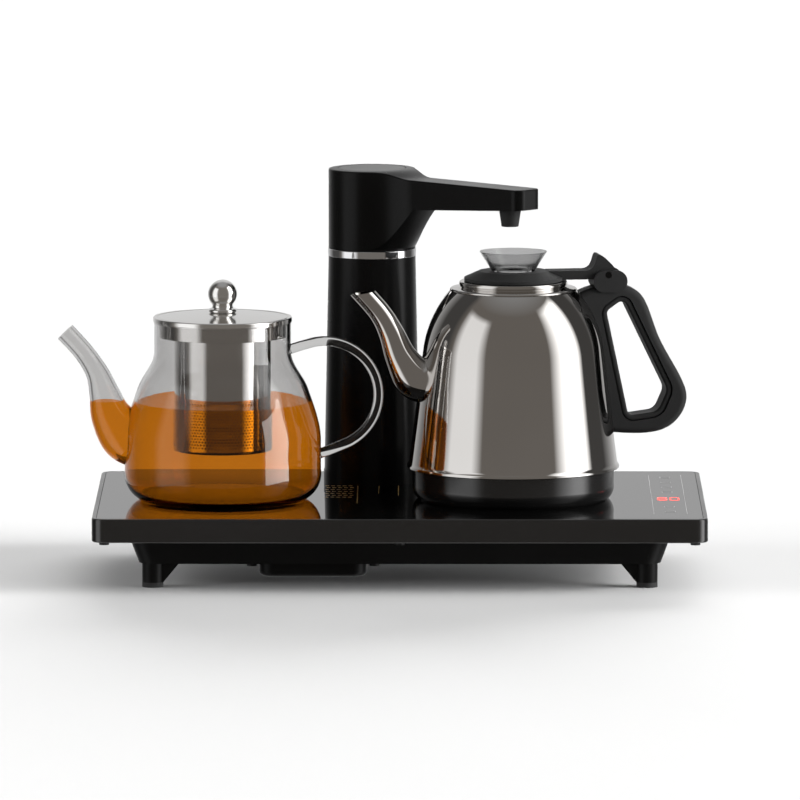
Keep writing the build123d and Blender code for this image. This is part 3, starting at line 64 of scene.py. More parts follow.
# camera: the photo's own view, from nearly 7 m away
cameraSetup = {
    "place": (26.92 * mm, -6878.65 * mm, 937.02 * mm),
    "pitch": 83.0913,
    "yaw": 0.1238,
    "lens": 512.07,
    "sensor": 36.0,
    "farClip": 60.0,
}
cameraData = bpy.data.cameras.new("camera")
cameraData.lens = cameraSetup["lens"]
cameraData.sensor_width = cameraSetup["sensor"]
cameraData.clip_end = cameraSetup["farClip"]
camera = bpy.data.objects.new("camera", cameraData)
camera.location = cameraSetup["place"]
camera.rotation_euler = (math.radians(cameraSetup["pitch"]), 0, math.radians(cameraSetup["yaw"]))
bpy.context.scene.collection.objects.link(camera)
bpy.context.scene.camera = camera
bpy.context.scene.view_settings.view_transform = "Standard"
print("camera placed")


# shared effects
def newGroup(name, inputs, outputs):
    group = bpy.data.node_groups.new(name, "ShaderNodeTree")
    for label, kind, value in inputs:
        socket = group.interface.new_socket(label, in_out="INPUT", socket_type=kind)
        socket.default_value = value
    for label, kind in outputs:
        group.interface.new_socket(label, in_out="OUTPUT", socket_type=kind)
    return group, group.nodes.new("NodeGroupInput"), group.nodes.new("NodeGroupOutput")


def addMath(tree, operation, first, second=None):
    node = tree.nodes.new("ShaderNodeMath")
    node.operation = operation
    for index, value in enumerate((first, second)):
        if value is None:
            continue
        if isinstance(value, (int, float)):
            node.inputs[index].default_value = value
        else:
            tree.links.new(value, node.inputs[index])
    return node.outputs[0]


def addRange(tree, value, low, high, newLow, newHigh):
    node = tree.nodes.new("ShaderNodeMapRange")
    tree.links.new(value, node.inputs["Value"])
    settings = {"From Min": low, "From Max": high, "To Min": newLow, "To Max": newHigh}
    for label, setting in settings.items():
        if isinstance(setting, (int, float)):
            node.inputs[label].default_value = setting
        else:
            tree.links.new(setting, node.inputs[label])
    return node.outputs["Result"]


def addNoise(tree, vector, scale, detail):
    node = tree.nodes.new("ShaderNodeTexNoise")
    node.inputs["Detail"].default_value = detail
    tree.links.new(vector, node.inputs["Vector"])
    if isinstance(scale, (int, float)):
        node.inputs["Scale"].default_value = scale
    else:
        tree.links.new(scale, node.inputs["Scale"])
    return node.outputs["Fac"]


# grain: fine moulding texture, as a height
grainGroup, grainIn, grainOut = newGroup(
    "grain",
    [("Scale", "NodeSocketFloat", 1800.0)],
    [("Height", "NodeSocketFloat")],
)
grainPlace = grainGroup.nodes.new("ShaderNodeTexCoord").outputs["Object"]
grainFine = addNoise(grainGroup, grainPlace, grainIn.outputs["Scale"], detail=3.0)
grainGroup.links.new(grainFine, grainOut.inputs["Height"])

# handling: soft patches where a finish is duller or brighter
handlingGroup, handlingIn, handlingOut = newGroup(
    "handling",
    [
        ("Scale", "NodeSocketFloat", 14.0),
        ("Dull", "NodeSocketFloat", 0.4),
        ("Bright", "NodeSocketFloat", 0.3),
    ],
    [("Roughness", "NodeSocketFloat"), ("Patch", "NodeSocketFloat")],
)
handlingSpan = (0.3, 0.7)  # of the noise, from bright to dull
handlingPlace = handlingGroup.nodes.new("ShaderNodeTexCoord").outputs["Object"]
handlingPatch = addNoise(handlingGroup, handlingPlace, handlingIn.outputs["Scale"], detail=2.0)
handlingSpread = addRange(handlingGroup, handlingPatch, *handlingSpan, 0.0, 1.0)
handlingRough = addRange(
    handlingGroup, handlingSpread, 0.0, 1.0, handlingIn.outputs["Bright"], handlingIn.outputs["Dull"]
)
handlingGroup.links.new(handlingRough, handlingOut.inputs["Roughness"])
handlingGroup.links.new(handlingSpread, handlingOut.inputs["Patch"])


def addGroup(material, group, **values):
    node = material.node_tree.nodes.new("ShaderNodeGroup")
    node.node_tree = group
    for label, value in values.items():
        node.inputs[label].default_value = value
    return node


def newMaterial(name):
    material = bpy.data.materials.new(name)
    material.use_nodes = True
    return material, material.node_tree, material.node_tree.nodes["Principled BSDF"]


def tintBetween(tree, mask, dark, light):
    mix = tree.nodes.new("ShaderNodeMix")
    mix.data_type = "RGBA"
    mix.inputs["A"].default_value = (*dark, 1)
    mix.inputs["B"].default_value = (*light, 1)
    tree.links.new(mask, mix.inputs["Factor"])
    return mix.outputs["Result"]


def addBump(tree, height, strength, distance, shader):
    bump = tree.nodes.new("ShaderNodeBump")
    bump.inputs["Strength"].default_value = strength
    bump.inputs["Distance"].default_value = distance
    tree.links.new(height, bump.inputs["Height"])
    tree.links.new(bump.outputs["Normal"], shader.inputs["Normal"])


grainStrength, waveStrength = 0.25, 0.2


def grey(level):
    return (level, level, level)


# a moulded plastic or rubber: two close tints, a fine grain, and patches of wear
def mouldedFinish(name, dark, light, bright, dull, grain, grainDepth, shine=0.5, patch=14.0):
    material, tree, shader = newMaterial(name)
    handling = addGroup(material, handlingGroup, Scale=patch, Dull=dull, Bright=bright)
    texture = addGroup(material, grainGroup, Scale=grain)
    tree.links.new(handling.outputs["Roughness"], shader.inputs["Roughness"])
    tree.links.new(tintBetween(tree, handling.outputs["Patch"], dark, light), shader.inputs["Base Color"])
    shader.inputs["Specular IOR Level"].default_value = shine
    addBump(tree, texture.outputs["Height"], grainStrength, grainDepth * mm, shader)
    return material


# a metal: slightly uneven polish, and faint waves of the pressed sheet
def metalFinish(name, dark, light, bright, dull, waves, waveDepth, patch=9.0):
    material, tree, shader = newMaterial(name)
    handling = addGroup(material, handlingGroup, Scale=patch, Dull=dull, Bright=bright)
    texture = addGroup(material, grainGroup, Scale=waves)
    tree.links.new(handling.outputs["Roughness"], shader.inputs["Roughness"])
    tree.links.new(tintBetween(tree, handling.outputs["Patch"], dark, light), shader.inputs["Base Color"])
    shader.inputs["Metallic"].default_value = 1.0
    addBump(tree, texture.outputs["Height"], waveStrength, waveDepth * mm, shader)
    return material


# clear glass or plastic: plain transmission, a trace of unevenness in the polish
def clearFinish(name, dark, light, bright, dull, index, patch=11.0):
    material, tree, shader = newMaterial(name)
    handling = addGroup(material, handlingGroup, Scale=patch, Dull=dull, Bright=bright)
    tree.links.new(handling.outputs["Roughness"], shader.inputs["Roughness"])
    tree.links.new(tintBetween(tree, handling.outputs["Patch"], dark, light), shader.inputs["Base Color"])
    shader.inputs["Transmission Weight"].default_value = 1.0
    shader.inputs["IOR"].default_value = index
    return material


# each finish: two tints, roughness where bright and where dull, grain and its depth in mm, shine, patch
frameBlack = mouldedFinish("frameBlack", grey(0.003), grey(0.004), 0.16, 0.24, 900.0, 0.01, 0.95)
panelBlack = mouldedFinish("panelBlack", grey(0.001), grey(0.0016), 0.02, 0.05, 300.0, 0.0005, 0.5, 6.0)
housingBlack = mouldedFinish("housingBlack", grey(0.0025), grey(0.0035), 0.34, 0.46, 1500.0, 0.03, 0.12)
towerBlack = mouldedFinish("towerBlack", grey(0.0018), grey(0.0026), 0.2, 0.28, 1200.0, 0.006, 0.14)
capBlack = mouldedFinish("capBlack", grey(0.003), grey(0.004), 0.24, 0.32, 1200.0, 0.006, 0.9)
kettleBlack = mouldedFinish("kettleBlack", grey(0.014), grey(0.018), 0.45, 0.55, 1600.0, 0.02, 0.07)
baseBlack = mouldedFinish("baseBlack", grey(0.003), grey(0.004), 0.14, 0.2, 1200.0, 0.01, 0.8)
rubberBlack = mouldedFinish("rubberBlack", grey(0.012), grey(0.02), 0.7, 0.85, 2200.0, 0.04)
siliconeWhite = mouldedFinish("siliconeWhite", (0.6, 0.6, 0.57), (0.68, 0.68, 0.66), 0.4, 0.55, 1400.0, 0.02)
mouldedWhite = mouldedFinish("mouldedWhite", (0.62, 0.62, 0.59), (0.7, 0.7, 0.68), 0.4, 0.5, 1400.0, 0.02)
boardGreen = mouldedFinish("boardGreen", (0.015, 0.09, 0.03), (0.02, 0.12, 0.045), 0.3, 0.42, 700.0, 0.03)
displayRed = mouldedFinish("displayRed", (0.25, 0.008, 0.008), (0.34, 0.012, 0.012), 0.25, 0.35, 900.0, 0.01)
contactGrey = mouldedFinish("contactGrey", grey(0.05), grey(0.07), 0.4, 0.52, 1500.0, 0.02)
kettleSteel = metalFinish("kettleSteel", (0.6, 0.58, 0.56), (0.66, 0.645, 0.63), 0.035, 0.07, 30.0, 0.003)
potSteel = metalFinish("potSteel", (0.79, 0.78, 0.765), (0.86, 0.85, 0.835), 0.09, 0.15, 60.0, 0.004)
chromeTrim = metalFinish("chromeTrim", (0.75, 0.75, 0.76), (0.8, 0.8, 0.81), 0.04, 0.08, 60.0, 0.002)
# dark screw finish; on the hinge pin it is painted shade standing in for a shaded pin hole
screwBlackAndPinShade = metalFinish("screwBlackAndPinShade", grey(0.02), grey(0.03), 0.4, 0.5, 900.0, 0.01)
hardwareSteel = metalFinish("hardwareSteel", (0.42, 0.42, 0.43), (0.5, 0.5, 0.51), 0.28, 0.4, 900.0, 0.01)
motorSteel = metalFinish("motorSteel", (0.4, 0.4, 0.39), (0.48, 0.48, 0.47), 0.3, 0.42, 700.0, 0.01)
warmerMetal = metalFinish("warmerMetal", (0.6, 0.6, 0.61), (0.66, 0.66, 0.67), 0.3, 0.4, 700.0, 0.01)
padCopper = metalFinish("padCopper", (0.55, 0.27, 0.14), (0.62, 0.33, 0.18), 0.25, 0.35, 700.0, 0.01)
potGlass = clearFinish("potGlass", (0.84, 0.835, 0.83), (0.88, 0.875, 0.87), 0.0, 0.015, 1.42)
teaAmber = clearFinish("teaAmber", (0.93, 0.285, 0.006), (1.0, 0.31, 0.009), 0.0, 0.01, 1.03)
funnelClear = clearFinish("funnelClear", grey(0.65), grey(0.71), 0.1, 0.16, 1.35)

# infuser steel: staggered round holes through the lower wall
piercing = {
    "pitch": 2.0, "row": 1.75, "hole": 0.3, "soft": 0.03, "from": 33.0, "to": 62.0, "radius": 29.4,
    "countFrom": 500.0,  # keeps the count of cells above nought all the way round
}
infuserSteel = metalFinish("infuserSteel", (0.66, 0.65, 0.635), (0.73, 0.72, 0.71), 0.05, 0.09, 60.0, 0.004)
pierceTree = infuserSteel.node_tree


def pierceMath(operation, first, second=None):
    return addMath(pierceTree, operation, first, second)


pierceSplit = pierceTree.nodes.new("ShaderNodeSeparateXYZ")
piercePlace = pierceTree.nodes.new("ShaderNodeTexCoord").outputs["Object"]
pierceTree.links.new(piercePlace, pierceSplit.inputs["Vector"])
pierceX = pierceMath("SUBTRACT", pierceSplit.outputs["X"], teapotAxis.x)
pierceY = pierceMath("SUBTRACT", pierceSplit.outputs["Y"], teapotAxis.y)
pierceZ = pierceMath("MULTIPLY", pierceMath("SUBTRACT", pierceSplit.outputs["Z"], glassTop), 1 / mm)
holesRound = round(2 * math.pi * piercing["radius"] / piercing["pitch"])
around = pierceMath("MULTIPLY", pierceMath("ARCTAN2", pierceY, pierceX), holesRound / (2 * math.pi))
rowUp = pierceMath("DIVIDE", pierceZ, piercing["row"])
rowShift = pierceMath("MULTIPLY", pierceMath("FLOOR", rowUp), 0.5)
cellCount = pierceMath("ADD", pierceMath("ADD", around, rowShift), piercing["countFrom"])
cellAcross = pierceMath("SUBTRACT", pierceMath("FRACT", cellCount), 0.5)
cellUp = pierceMath("SUBTRACT", pierceMath("FRACT", rowUp), 0.5)
cellUp = pierceMath("MULTIPLY", cellUp, piercing["row"] / piercing["pitch"])
squares = [pierceMath("POWER", pierceMath("ABSOLUTE", side), 2.0) for side in (cellAcross, cellUp)]
reach = pierceMath("SQRT", pierceMath("ADD", *squares))
holeEdge = (piercing["hole"] - piercing["soft"], piercing["hole"] + piercing["soft"])
holeMask = addRange(pierceTree, reach, *holeEdge, 1.0, 0.0)
above = pierceMath("GREATER_THAN", pierceZ, piercing["from"])
below = pierceMath("LESS_THAN", pierceZ, piercing["to"])
holeMask = pierceMath("MULTIPLY", holeMask, pierceMath("MULTIPLY", above, below))
pierceShader = pierceTree.nodes["Principled BSDF"]
pierceTree.links.new(pierceMath("SUBTRACT", 1.0, holeMask), pierceShader.inputs["Alpha"])

printGrey = mouldedFinish("printGrey", grey(0.2), grey(0.26), 0.4, 0.5, 1500.0, 0.002, 0.2)
printGold = mouldedFinish("printGold", (0.3, 0.19, 0.06), (0.38, 0.25, 0.09), 0.4, 0.5, 1500.0, 0.002, 0.2)
digitGlow = mouldedFinish("digitGlow", (0.5, 0.02, 0.02), (0.6, 0.03, 0.03), 0.4, 0.5, 1500.0, 0.002, 0.2)
glowSetup = {"colour": (1.0, 0.12, 0.09, 1), "strength": 1.1}
glowShader = digitGlow.node_tree.nodes["Principled BSDF"]
glowShader.inputs["Emission Color"].default_value = glowSetup["colour"]
glowShader.inputs["Emission Strength"].default_value = glowSetup["strength"]

finishOfSlot = {
    "frame_black": frameBlack,
    "panel_glass": panelBlack,
    "housing_black": housingBlack,
    "tower_black": towerBlack,
    "chrome_trim": chromeTrim,
    "kettle_steel": kettleSteel,
    "kettle_black": kettleBlack,
    "funnel_clear": funnelClear,
    "pot_glass": potGlass,
    "pot_steel": potSteel,
    "hardware_steel": hardwareSteel,
    "rubber_black": rubberBlack,
    "silicone": siliconeWhite,
    "moulded_white": mouldedWhite,
    "motor_steel": motorSteel,
    "warmer_metal": warmerMetal,
    "board_green": boardGreen,
    "display_red": displayRed,
    "pad_copper": padCopper,
    "contact_grey": contactGrey,
}
# the hinge pin takes the dark screw finish as painted shade, so the flush pin reads as a shaded pin hole
finishOfNode = {
    "housing_screws": screwBlackAndPinShade, "cover_screws": screwBlackAndPinShade, "hinge_pin": screwBlackAndPinShade,
    "nozzle": kettleBlack, "fill_button": capBlack,
}
for entry in frame["record"]["subparts"]:
    slots = nodes[entry["node"]].data.materials
    slots.clear()
    slots.append(finishOfNode.get(entry["node"]) or finishOfSlot[entry["material_slot"]])
print("finishes made:", len(finishOfSlot))


# mesh helpers
mergeReach, cutReach = 1e-6, 1e-7
bevelSteps = 3


def curveThrough(points, steps):
    # a smooth line through a few points of any number of values each
    line = []
    last = len(points) - 1
    for index in range(last):
        near = [min(max(index + k, 0), last) for k in (-1, 0, 1, 2)]
        before, start, end, after = (Vector(points[k]) for k in near)
        for step in range(steps):
            t = step / steps
            line.append(
                0.5 * ((2 * start) + (end - before) * t + (2 * before - 5 * start + 4 * end - after) * t**2
                       + (3 * start - before - 3 * end + after) * t**3)
            )
    line.append(Vector(points[last]))
    return line


def onCircle(centre, radius, turn):
    return centre + Vector((math.cos(turn), math.sin(turn))) * radius


def arcFrom(start, lean, end, steps):
    # an arc that leaves start along lean and reaches end
    start, end = Vector(start), Vector(end)
    lean = Vector(lean).normalized()
    inward = Vector((-lean.y, lean.x))
    span = end - start
    radius = span.length_squared / (2 * span.dot(inward))
    centre = start + inward * radius
    first = math.atan2(*(start - centre).yx)
    sweep = 2 * math.atan2(span.dot(inward), span.dot(lean))
    return [onCircle(centre, abs(radius), first + sweep * k / steps) for k in range(steps + 1)]


def threePointArc(start, middle, end, steps):
    # an arc from start to end by way of middle
    a, b, c = Vector(start), Vector(middle), Vector(end)
    ab, ac = b - a, c - a
    cross = 2 * (ab.x * ac.y - ab.y * ac.x)
    centre = a + Vector((
        (ac.y * ab.length_squared - ab.y * ac.length_squared) / cross,
        (ab.x * ac.length_squared - ac.x * ab.length_squared) / cross,
    ))
    first, half, last = (math.atan2(point.y - centre.y, point.x - centre.x) for point in (a, b, c))
    sweep = (last - first) % (2 * math.pi)
    if (half - first) % (2 * math.pi) > sweep:
        sweep -= 2 * math.pi
    radius = (a - centre).length
    return [onCircle(centre, radius, first + sweep * k / steps) for k in range(steps + 1)]


def turnedMesh(profile, axis, steps=192):
    # a closed profile of (radius, height above the glass), spun round an upright axis
    shape = bmesh.new()
    corners = [shape.verts.new((axis.x + r * mm, axis.y, glassTop + z * mm)) for r, z in profile]
    lines = [
        shape.edges.new((a, b)) for (a, b), (p, q) in zip(
            zip(corners, corners[1:] + corners[:1]), zip(profile, profile[1:] + profile[:1])
        ) if p[0] or q[0]
    ]
    bmesh.ops.spin(
        shape, geom=corners + lines, cent=(axis.x, axis.y, 0), axis=(0, 0, 1), dvec=(0, 0, 0),
        angle=2 * math.pi, steps=steps, use_merge=True, use_duplicate=False,
    )
    bmesh.ops.remove_doubles(shape, verts=shape.verts, dist=mergeReach)
    bmesh.ops.dissolve_degenerate(shape, dist=cutReach, edges=shape.edges)
    bmesh.ops.recalc_face_normals(shape, faces=shape.faces)
    return shape


def addTube(shape, stations, radii, axis, heading, steps, sides):
    # rings across a bent middle line, bridged one to the next; both ends stay open
    ahead = Vector((math.cos(heading), math.sin(heading), 0))
    across = Vector((ahead.y, -ahead.x, 0))
    path = curveThrough([(d, z, r) for (d, z), r in zip(stations, radii)], steps)
    rings = []
    for index, (d, z, r) in enumerate(path):
        later, earlier = path[min(index + 1, len(path) - 1)], path[max(index - 1, 0)]
        run = (ahead * (later[0] - earlier[0]) + Vector((0, 0, later[1] - earlier[1]))).normalized()
        place = Vector((axis.x, axis.y, glassTop)) + ahead * (d * mm) + Vector((0, 0, z * mm))
        turn = Matrix((across, run.cross(across), run)).transposed().to_4x4()
        made = bmesh.ops.create_circle(
            shape, cap_ends=False, segments=sides, radius=r * mm, matrix=Matrix.Translation(place) @ turn
        )
        rings.append(list({line for vert in made["verts"] for line in vert.link_edges}))
        if index:
            bmesh.ops.bridge_loops(shape, edges=rings[-2] + rings[-1])


def cappedTube(stations, radii, axis, heading, steps, sides):
    # the same tube as a closed solid
    tube = bmesh.new()
    addTube(tube, stations, radii, axis, heading, steps, sides)
    bmesh.ops.holes_fill(tube, edges=tube.edges, sides=0)
    bmesh.ops.recalc_face_normals(tube, faces=tube.faces)
    return tube


def lengthened(line, start, end):
    # the same stations, with the ends pushed further out
    first, second, before, last = (Vector(line[index]) for index in (0, 1, -2, -1))
    first += (first - second).normalized() * start
    last += (last - before).normalized() * end
    return [tuple(first), *line[1:-1], tuple(last)]


def pieceFrom(name, shape, body, finish, replaced=(), softEdge=0.0, sharp=35):
    for face in shape.faces:
        face.smooth = True
    for line in shape.edges:
        line.smooth = line.calc_face_angle(0.0) < math.radians(sharp)
    data = bpy.data.meshes.new(name)
    shape.to_mesh(data)
    shape.free()
    data.materials.append(finish)
    piece = bpy.data.objects.new(name, data)
    bpy.context.scene.collection.objects.link(piece)
    if softEdge:
        edges = piece.modifiers.new("edges", "BEVEL")
        edges.width = softEdge * mm
        edges.segments = bevelSteps
        edges.limit_method = "ANGLE"
        edges.angle_limit = math.radians(sharp)
    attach(piece, body)
    if replaced:
        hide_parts(*replaced)
    return piece


def joinedMesh(first, second, operation):
    # one bmesh out of two, by a boolean that is applied at once
    holders = []
    for label, shape in (("first", first), ("second", second)):
        data = bpy.data.meshes.new(label)
        shape.to_mesh(data)
        shape.free()
        holder = bpy.data.objects.new(label, data)
        bpy.context.scene.collection.objects.link(holder)
        holders.append(holder)
    cut = holders[0].modifiers.new("join", "BOOLEAN")
    cut.operation = operation
    cut.object = holders[1]
    cut.solver = "EXACT"
    joined = bmesh.new()
    joined.from_object(holders[0], bpy.context.evaluated_depsgraph_get())
    for holder in holders:
        data = holder.data
        bpy.data.objects.remove(holder)
        bpy.data.meshes.remove(data)
    bmesh.ops.remove_doubles(joined, verts=joined.verts, dist=mergeReach)
    return joined


# kettle shell: rolled foot, tapered side, round shoulder
kettleShell = {
    "foot": (64.5, 19.0),
    "bead": [(-0.5, 0.0), (0.0, 0.45), (0.0, 1.4), (-0.35, 2.1)],  # out and up from the foot
    "ease": (0.1, -0.6),  # from the bead into the side's low end
    "low": (63.2, 22.8),
    "high": (54.8, 90.0),
    "mouth": (38.6, 127.0),
    "shoulderSteps": 28,
    "sheet": 1.0,
}


def kettleProfile(inset):
    lowR, lowZ = kettleShell["low"]
    highR, highZ = kettleShell["high"]
    footR, footZ = kettleShell["foot"]
    mouthR, mouthZ = kettleShell["mouth"]
    easeR, easeZ = kettleShell["ease"]
    line = [(footR + out - inset, footZ + up) for out, up in kettleShell["bead"]]
    line += [(lowR + easeR - inset, lowZ + easeZ), (lowR - inset, lowZ)]
    side = (highR - lowR, highZ - lowZ)
    line += arcFrom((highR - inset, highZ), side, (mouthR - inset, mouthZ), kettleShell["shoulderSteps"])
    return [tuple(point) for point in line]


shellOut = kettleProfile(0.0)
shellIn = kettleProfile(kettleShell["sheet"])
shellShape = turnedMesh(shellOut + shellIn[::-1], kettleAxis)
pieceFrom("kettleShell", shellShape, "kettle", kettleSteel, ["kettle_body"])

# kettle base: upright above, rounded in below, with a well for the power socket
kettleBase = {
    "top": (61.4, 19.0), "side": (61.2, 9.5), "bulge": (60.6, 4.0), "foot": (57.5, 0.0), "sideSteps": 12,
    "wall": 2.4, "well": 21.8, "wellTop": 13.5,
}
baseWall = kettleBase["wall"]
baseSide = threePointArc(kettleBase["foot"], kettleBase["bulge"], kettleBase["side"], kettleBase["sideSteps"])
baseProfile = [(kettleBase["well"], 0.0)]
baseProfile += [tuple(point) for point in baseSide]
baseProfile += [
    kettleBase["top"],
    (kettleBase["top"][0] - baseWall, kettleBase["top"][1]),
    (kettleBase["foot"][0] - baseWall, baseWall),
    (kettleBase["well"] + baseWall, baseWall),
    (kettleBase["well"] + baseWall, kettleBase["wellTop"]),
    (kettleBase["well"], kettleBase["wellTop"]),
]
baseShape = turnedMesh(baseProfile, kettleAxis)
pieceFrom("kettleBase", baseShape, "kettle", baseBlack, ["kettle_base"])

# kettle spout: a bent cone whose mouth is cut nearly level
kettleSpout = {
    "line": [(50.0, 72.0), (60.4, 75.0), (69.0, 87.5), (75.3, 103.0), (82.6, 115.6), (97.0, 132.0)],
    "radii": [14.2, 13.2, 9.7, 7.6, 6.6, 6.4],
    "steps": 10,
    "sides": 72,
    "wall": 1.0,
    "boreRun": (1.0, 2.0),  # of the bore past both ends
    "heading": 189.0,
    "lip": (92.5, 127.0),
    "lipSlope": 0.16,
}
spoutTurn = math.radians(kettleSpout["heading"])
spoutAhead = Vector((math.cos(spoutTurn), math.sin(spoutTurn), 0))
spoutGrid = (kettleAxis, spoutTurn, kettleSpout["steps"], kettleSpout["sides"])
boreLine = lengthened(kettleSpout["line"], *kettleSpout["boreRun"])
boreRadii = [radius - kettleSpout["wall"] for radius in kettleSpout["radii"]]
spoutOut = cappedTube(kettleSpout["line"], kettleSpout["radii"], *spoutGrid)
spoutIn = cappedTube(boreLine, boreRadii, *spoutGrid)
spoutShape = joinedMesh(spoutOut, spoutIn, "DIFFERENCE")
lipPlace = Vector((kettleAxis.x, kettleAxis.y, glassTop)) + spoutAhead * (kettleSpout["lip"][0] * mm)
lipPlace.z += kettleSpout["lip"][1] * mm
lipNormal = (Vector((0, 0, 1)) + spoutAhead * kettleSpout["lipSlope"]).normalized()
lipCut = bmesh.ops.bisect_plane(
    spoutShape, geom=spoutShape.verts[:] + spoutShape.edges[:] + spoutShape.faces[:], dist=cutReach,
    plane_co=lipPlace, plane_no=lipNormal, clear_outer=True,
)
lipEdges = [part for part in lipCut["geom_cut"] if isinstance(part, bmesh.types.BMEdge)]
bmesh.ops.bridge_loops(spoutShape, edges=lipEdges)
bmesh.ops.recalc_face_normals(spoutShape, faces=spoutShape.faces)
pieceFrom("kettleSpout", spoutShape, "kettle", kettleSteel, ["kettle_spout"], softEdge=0.2)

# mouth ring: flat flange, and a rolled collar under the lid
mouthRing = {
    "bore": 28.6, "sheet": 1.0, "low": 125.4, "seat": 127.0, "top": 132.8,
    "flange": 38.6,
    "flangeEdge": [(-0.4, 0.0), (0.0, 0.4), (0.0, 1.0), (-0.5, 1.6), (-3.0, 2.1)],  # out and up from the seat
    "collar": 32.4,
    "collarFoot": (0.8, 2.3),
    "bulge": 0.5, "bulgeFrom": 129.9, "bulgeSteps": 8,
}
bulgeSteps = mouthRing["bulgeSteps"]
bulgeRise = mouthRing["top"] - mouthRing["bulgeFrom"]
ringProfile = [
    (mouthRing["bore"], mouthRing["low"]),
    (mouthRing["bore"] + mouthRing["sheet"], mouthRing["low"]),
    (mouthRing["bore"] + mouthRing["sheet"], mouthRing["seat"]),
]
ringProfile += [(mouthRing["flange"] + out, mouthRing["seat"] + up) for out, up in mouthRing["flangeEdge"]]
footOut, footUp = mouthRing["collarFoot"]
ringProfile.append((mouthRing["collar"] + footOut, mouthRing["seat"] + footUp))
for k in range(bulgeSteps + 1):
    swell = mouthRing["bulge"] * math.sin(math.pi * k / bulgeSteps)
    ringProfile.append((mouthRing["collar"] + swell, mouthRing["bulgeFrom"] + bulgeRise * k / bulgeSteps))
ringProfile.append((mouthRing["bore"], mouthRing["top"]))
ringShape = turnedMesh(ringProfile, kettleAxis)
pieceFrom("mouthRing", ringShape, "kettle", kettleSteel, ["mouth_ring"], softEdge=0.15)
print("kettle dressed")

# teapot glass: body, spout and rod handle blown and fused into one
teapotGlass = {
    "foot": 49.6,
    "flatEdge": 8.0,  # of the flat bottom, in from the foot
    "heel": (57.8, 7.6),
    "swell": (59.6, 18.5),
    "belly": (59.6, 37.0),
    "shoulder": (52.0, 67.0),
    "neck": (41.5, 91.0),
    "top": 108.0,
    "wall": 2.0,
    "floor": 2.6,
    "turns": 160,
    "sideSteps": 14,
    "spout": [
        (46.0, 35.0), (58.6, 38.5), (67.6, 51.0), (71.8, 64.0), (76.2, 77.0), (84.6, 90.0), (95.5, 102.0),
    ],
    "spoutRadii": [17.0, 16.0, 12.6, 9.4, 7.0, 6.1, 6.1],
    "spoutGrid": (10, 56),
    "cutPast": 2.0,  # of the hollow past the spout's tip
    "rimPast": 1.0,  # and past the rim
    "loop": (62.0, 64.0),
    "loopRadius": 32.5,
    "loopFrom": 107.0,
    "loopTo": -68.0,
    "lead": 14.0,
    "tail": 22.0,
    "rod": 3.0,
    "rodGrid": (4, 32),
    "loopSteps": 16,
}
teaSetup = {"level": 60.0, "seep": 0.15}


def easedLine(start, middle, end, steps):
    # from upright at start, through middle, to upright at end
    slope = (Vector(end) - Vector(start)) * 0.5
    upright = Vector((0, slope.y))
    line = []
    for (a, ta), (b, tb) in (
        ((Vector(start), upright), (Vector(middle), slope)),
        ((Vector(middle), slope), (Vector(end), upright)),
    ):
        for k in range(steps):
            t = k / steps
            line.append(
                a * (2 * t**3 - 3 * t**2 + 1) + ta * (t**3 - 2 * t**2 + t)
                + b * (3 * t**2 - 2 * t**3) + tb * (t**3 - t**2)
            )
    return line + [Vector(end)]


def potProfile(inset, floor, top):
    def drawn(point):
        return (point[0] - inset, point[1])

    steps = teapotGlass["sideSteps"]
    heel = (teapotGlass["heel"][0] - inset, teapotGlass["heel"][1] + floor / 2)
    foot = teapotGlass["foot"] - inset
    line = [Vector((0, floor)), Vector((foot - teapotGlass["flatEdge"], floor))]
    line += threePointArc((foot, floor), heel, drawn(teapotGlass["swell"]), steps)
    line += easedLine(*(drawn(teapotGlass[part]) for part in ("belly", "shoulder", "neck")), steps)
    line.append(Vector((teapotGlass["neck"][0] - inset, top)))
    return [tuple(point) for point in line] + [(0, top)]


def potSolid(inset, floor, top):
    body = turnedMesh(potProfile(inset, floor, top), teapotAxis, teapotGlass["turns"])
    radii = [radius - inset for radius in teapotGlass["spoutRadii"]]
    line = lengthened(teapotGlass["spout"], 0, teapotGlass["cutPast"] if inset else 0)
    beak = cappedTube(line, radii, teapotAxis, math.pi, *teapotGlass["spoutGrid"])
    return joinedMesh(body, beak, "UNION")


def rodMesh():
    loop = Vector(teapotGlass["loop"])
    first, last = math.radians(teapotGlass["loopFrom"]), math.radians(teapotGlass["loopTo"])
    steps = teapotGlass["loopSteps"]
    turns = [first + (last - first) * k / steps for k in range(steps + 1)]
    bow = [onCircle(loop, teapotGlass["loopRadius"], turn) for turn in turns]
    lead = bow[0] + Vector((-math.sin(first), math.cos(first))) * teapotGlass["lead"]
    tail = bow[-1] + Vector((math.sin(last), -math.cos(last))) * teapotGlass["tail"]
    line = [tuple(point) for point in (lead, *bow, tail)]
    return cappedTube(line, [teapotGlass["rod"]] * len(line), teapotAxis, 0.0, *teapotGlass["rodGrid"])


wall, floorGlass = teapotGlass["wall"], teapotGlass["floor"]
potOut = joinedMesh(potSolid(0.0, 0.0, teapotGlass["top"]), rodMesh(), "UNION")
potIn = potSolid(wall, floorGlass, teapotGlass["top"] + teapotGlass["rimPast"])
potShape = joinedMesh(potOut, potIn, "DIFFERENCE")
potNodes = ["teapot_body", "teapot_spout", "teapot_handle"]
teapotPiece = pieceFrom("teapotGlass", potShape, "teapot", potGlass, potNodes, sharp=40)

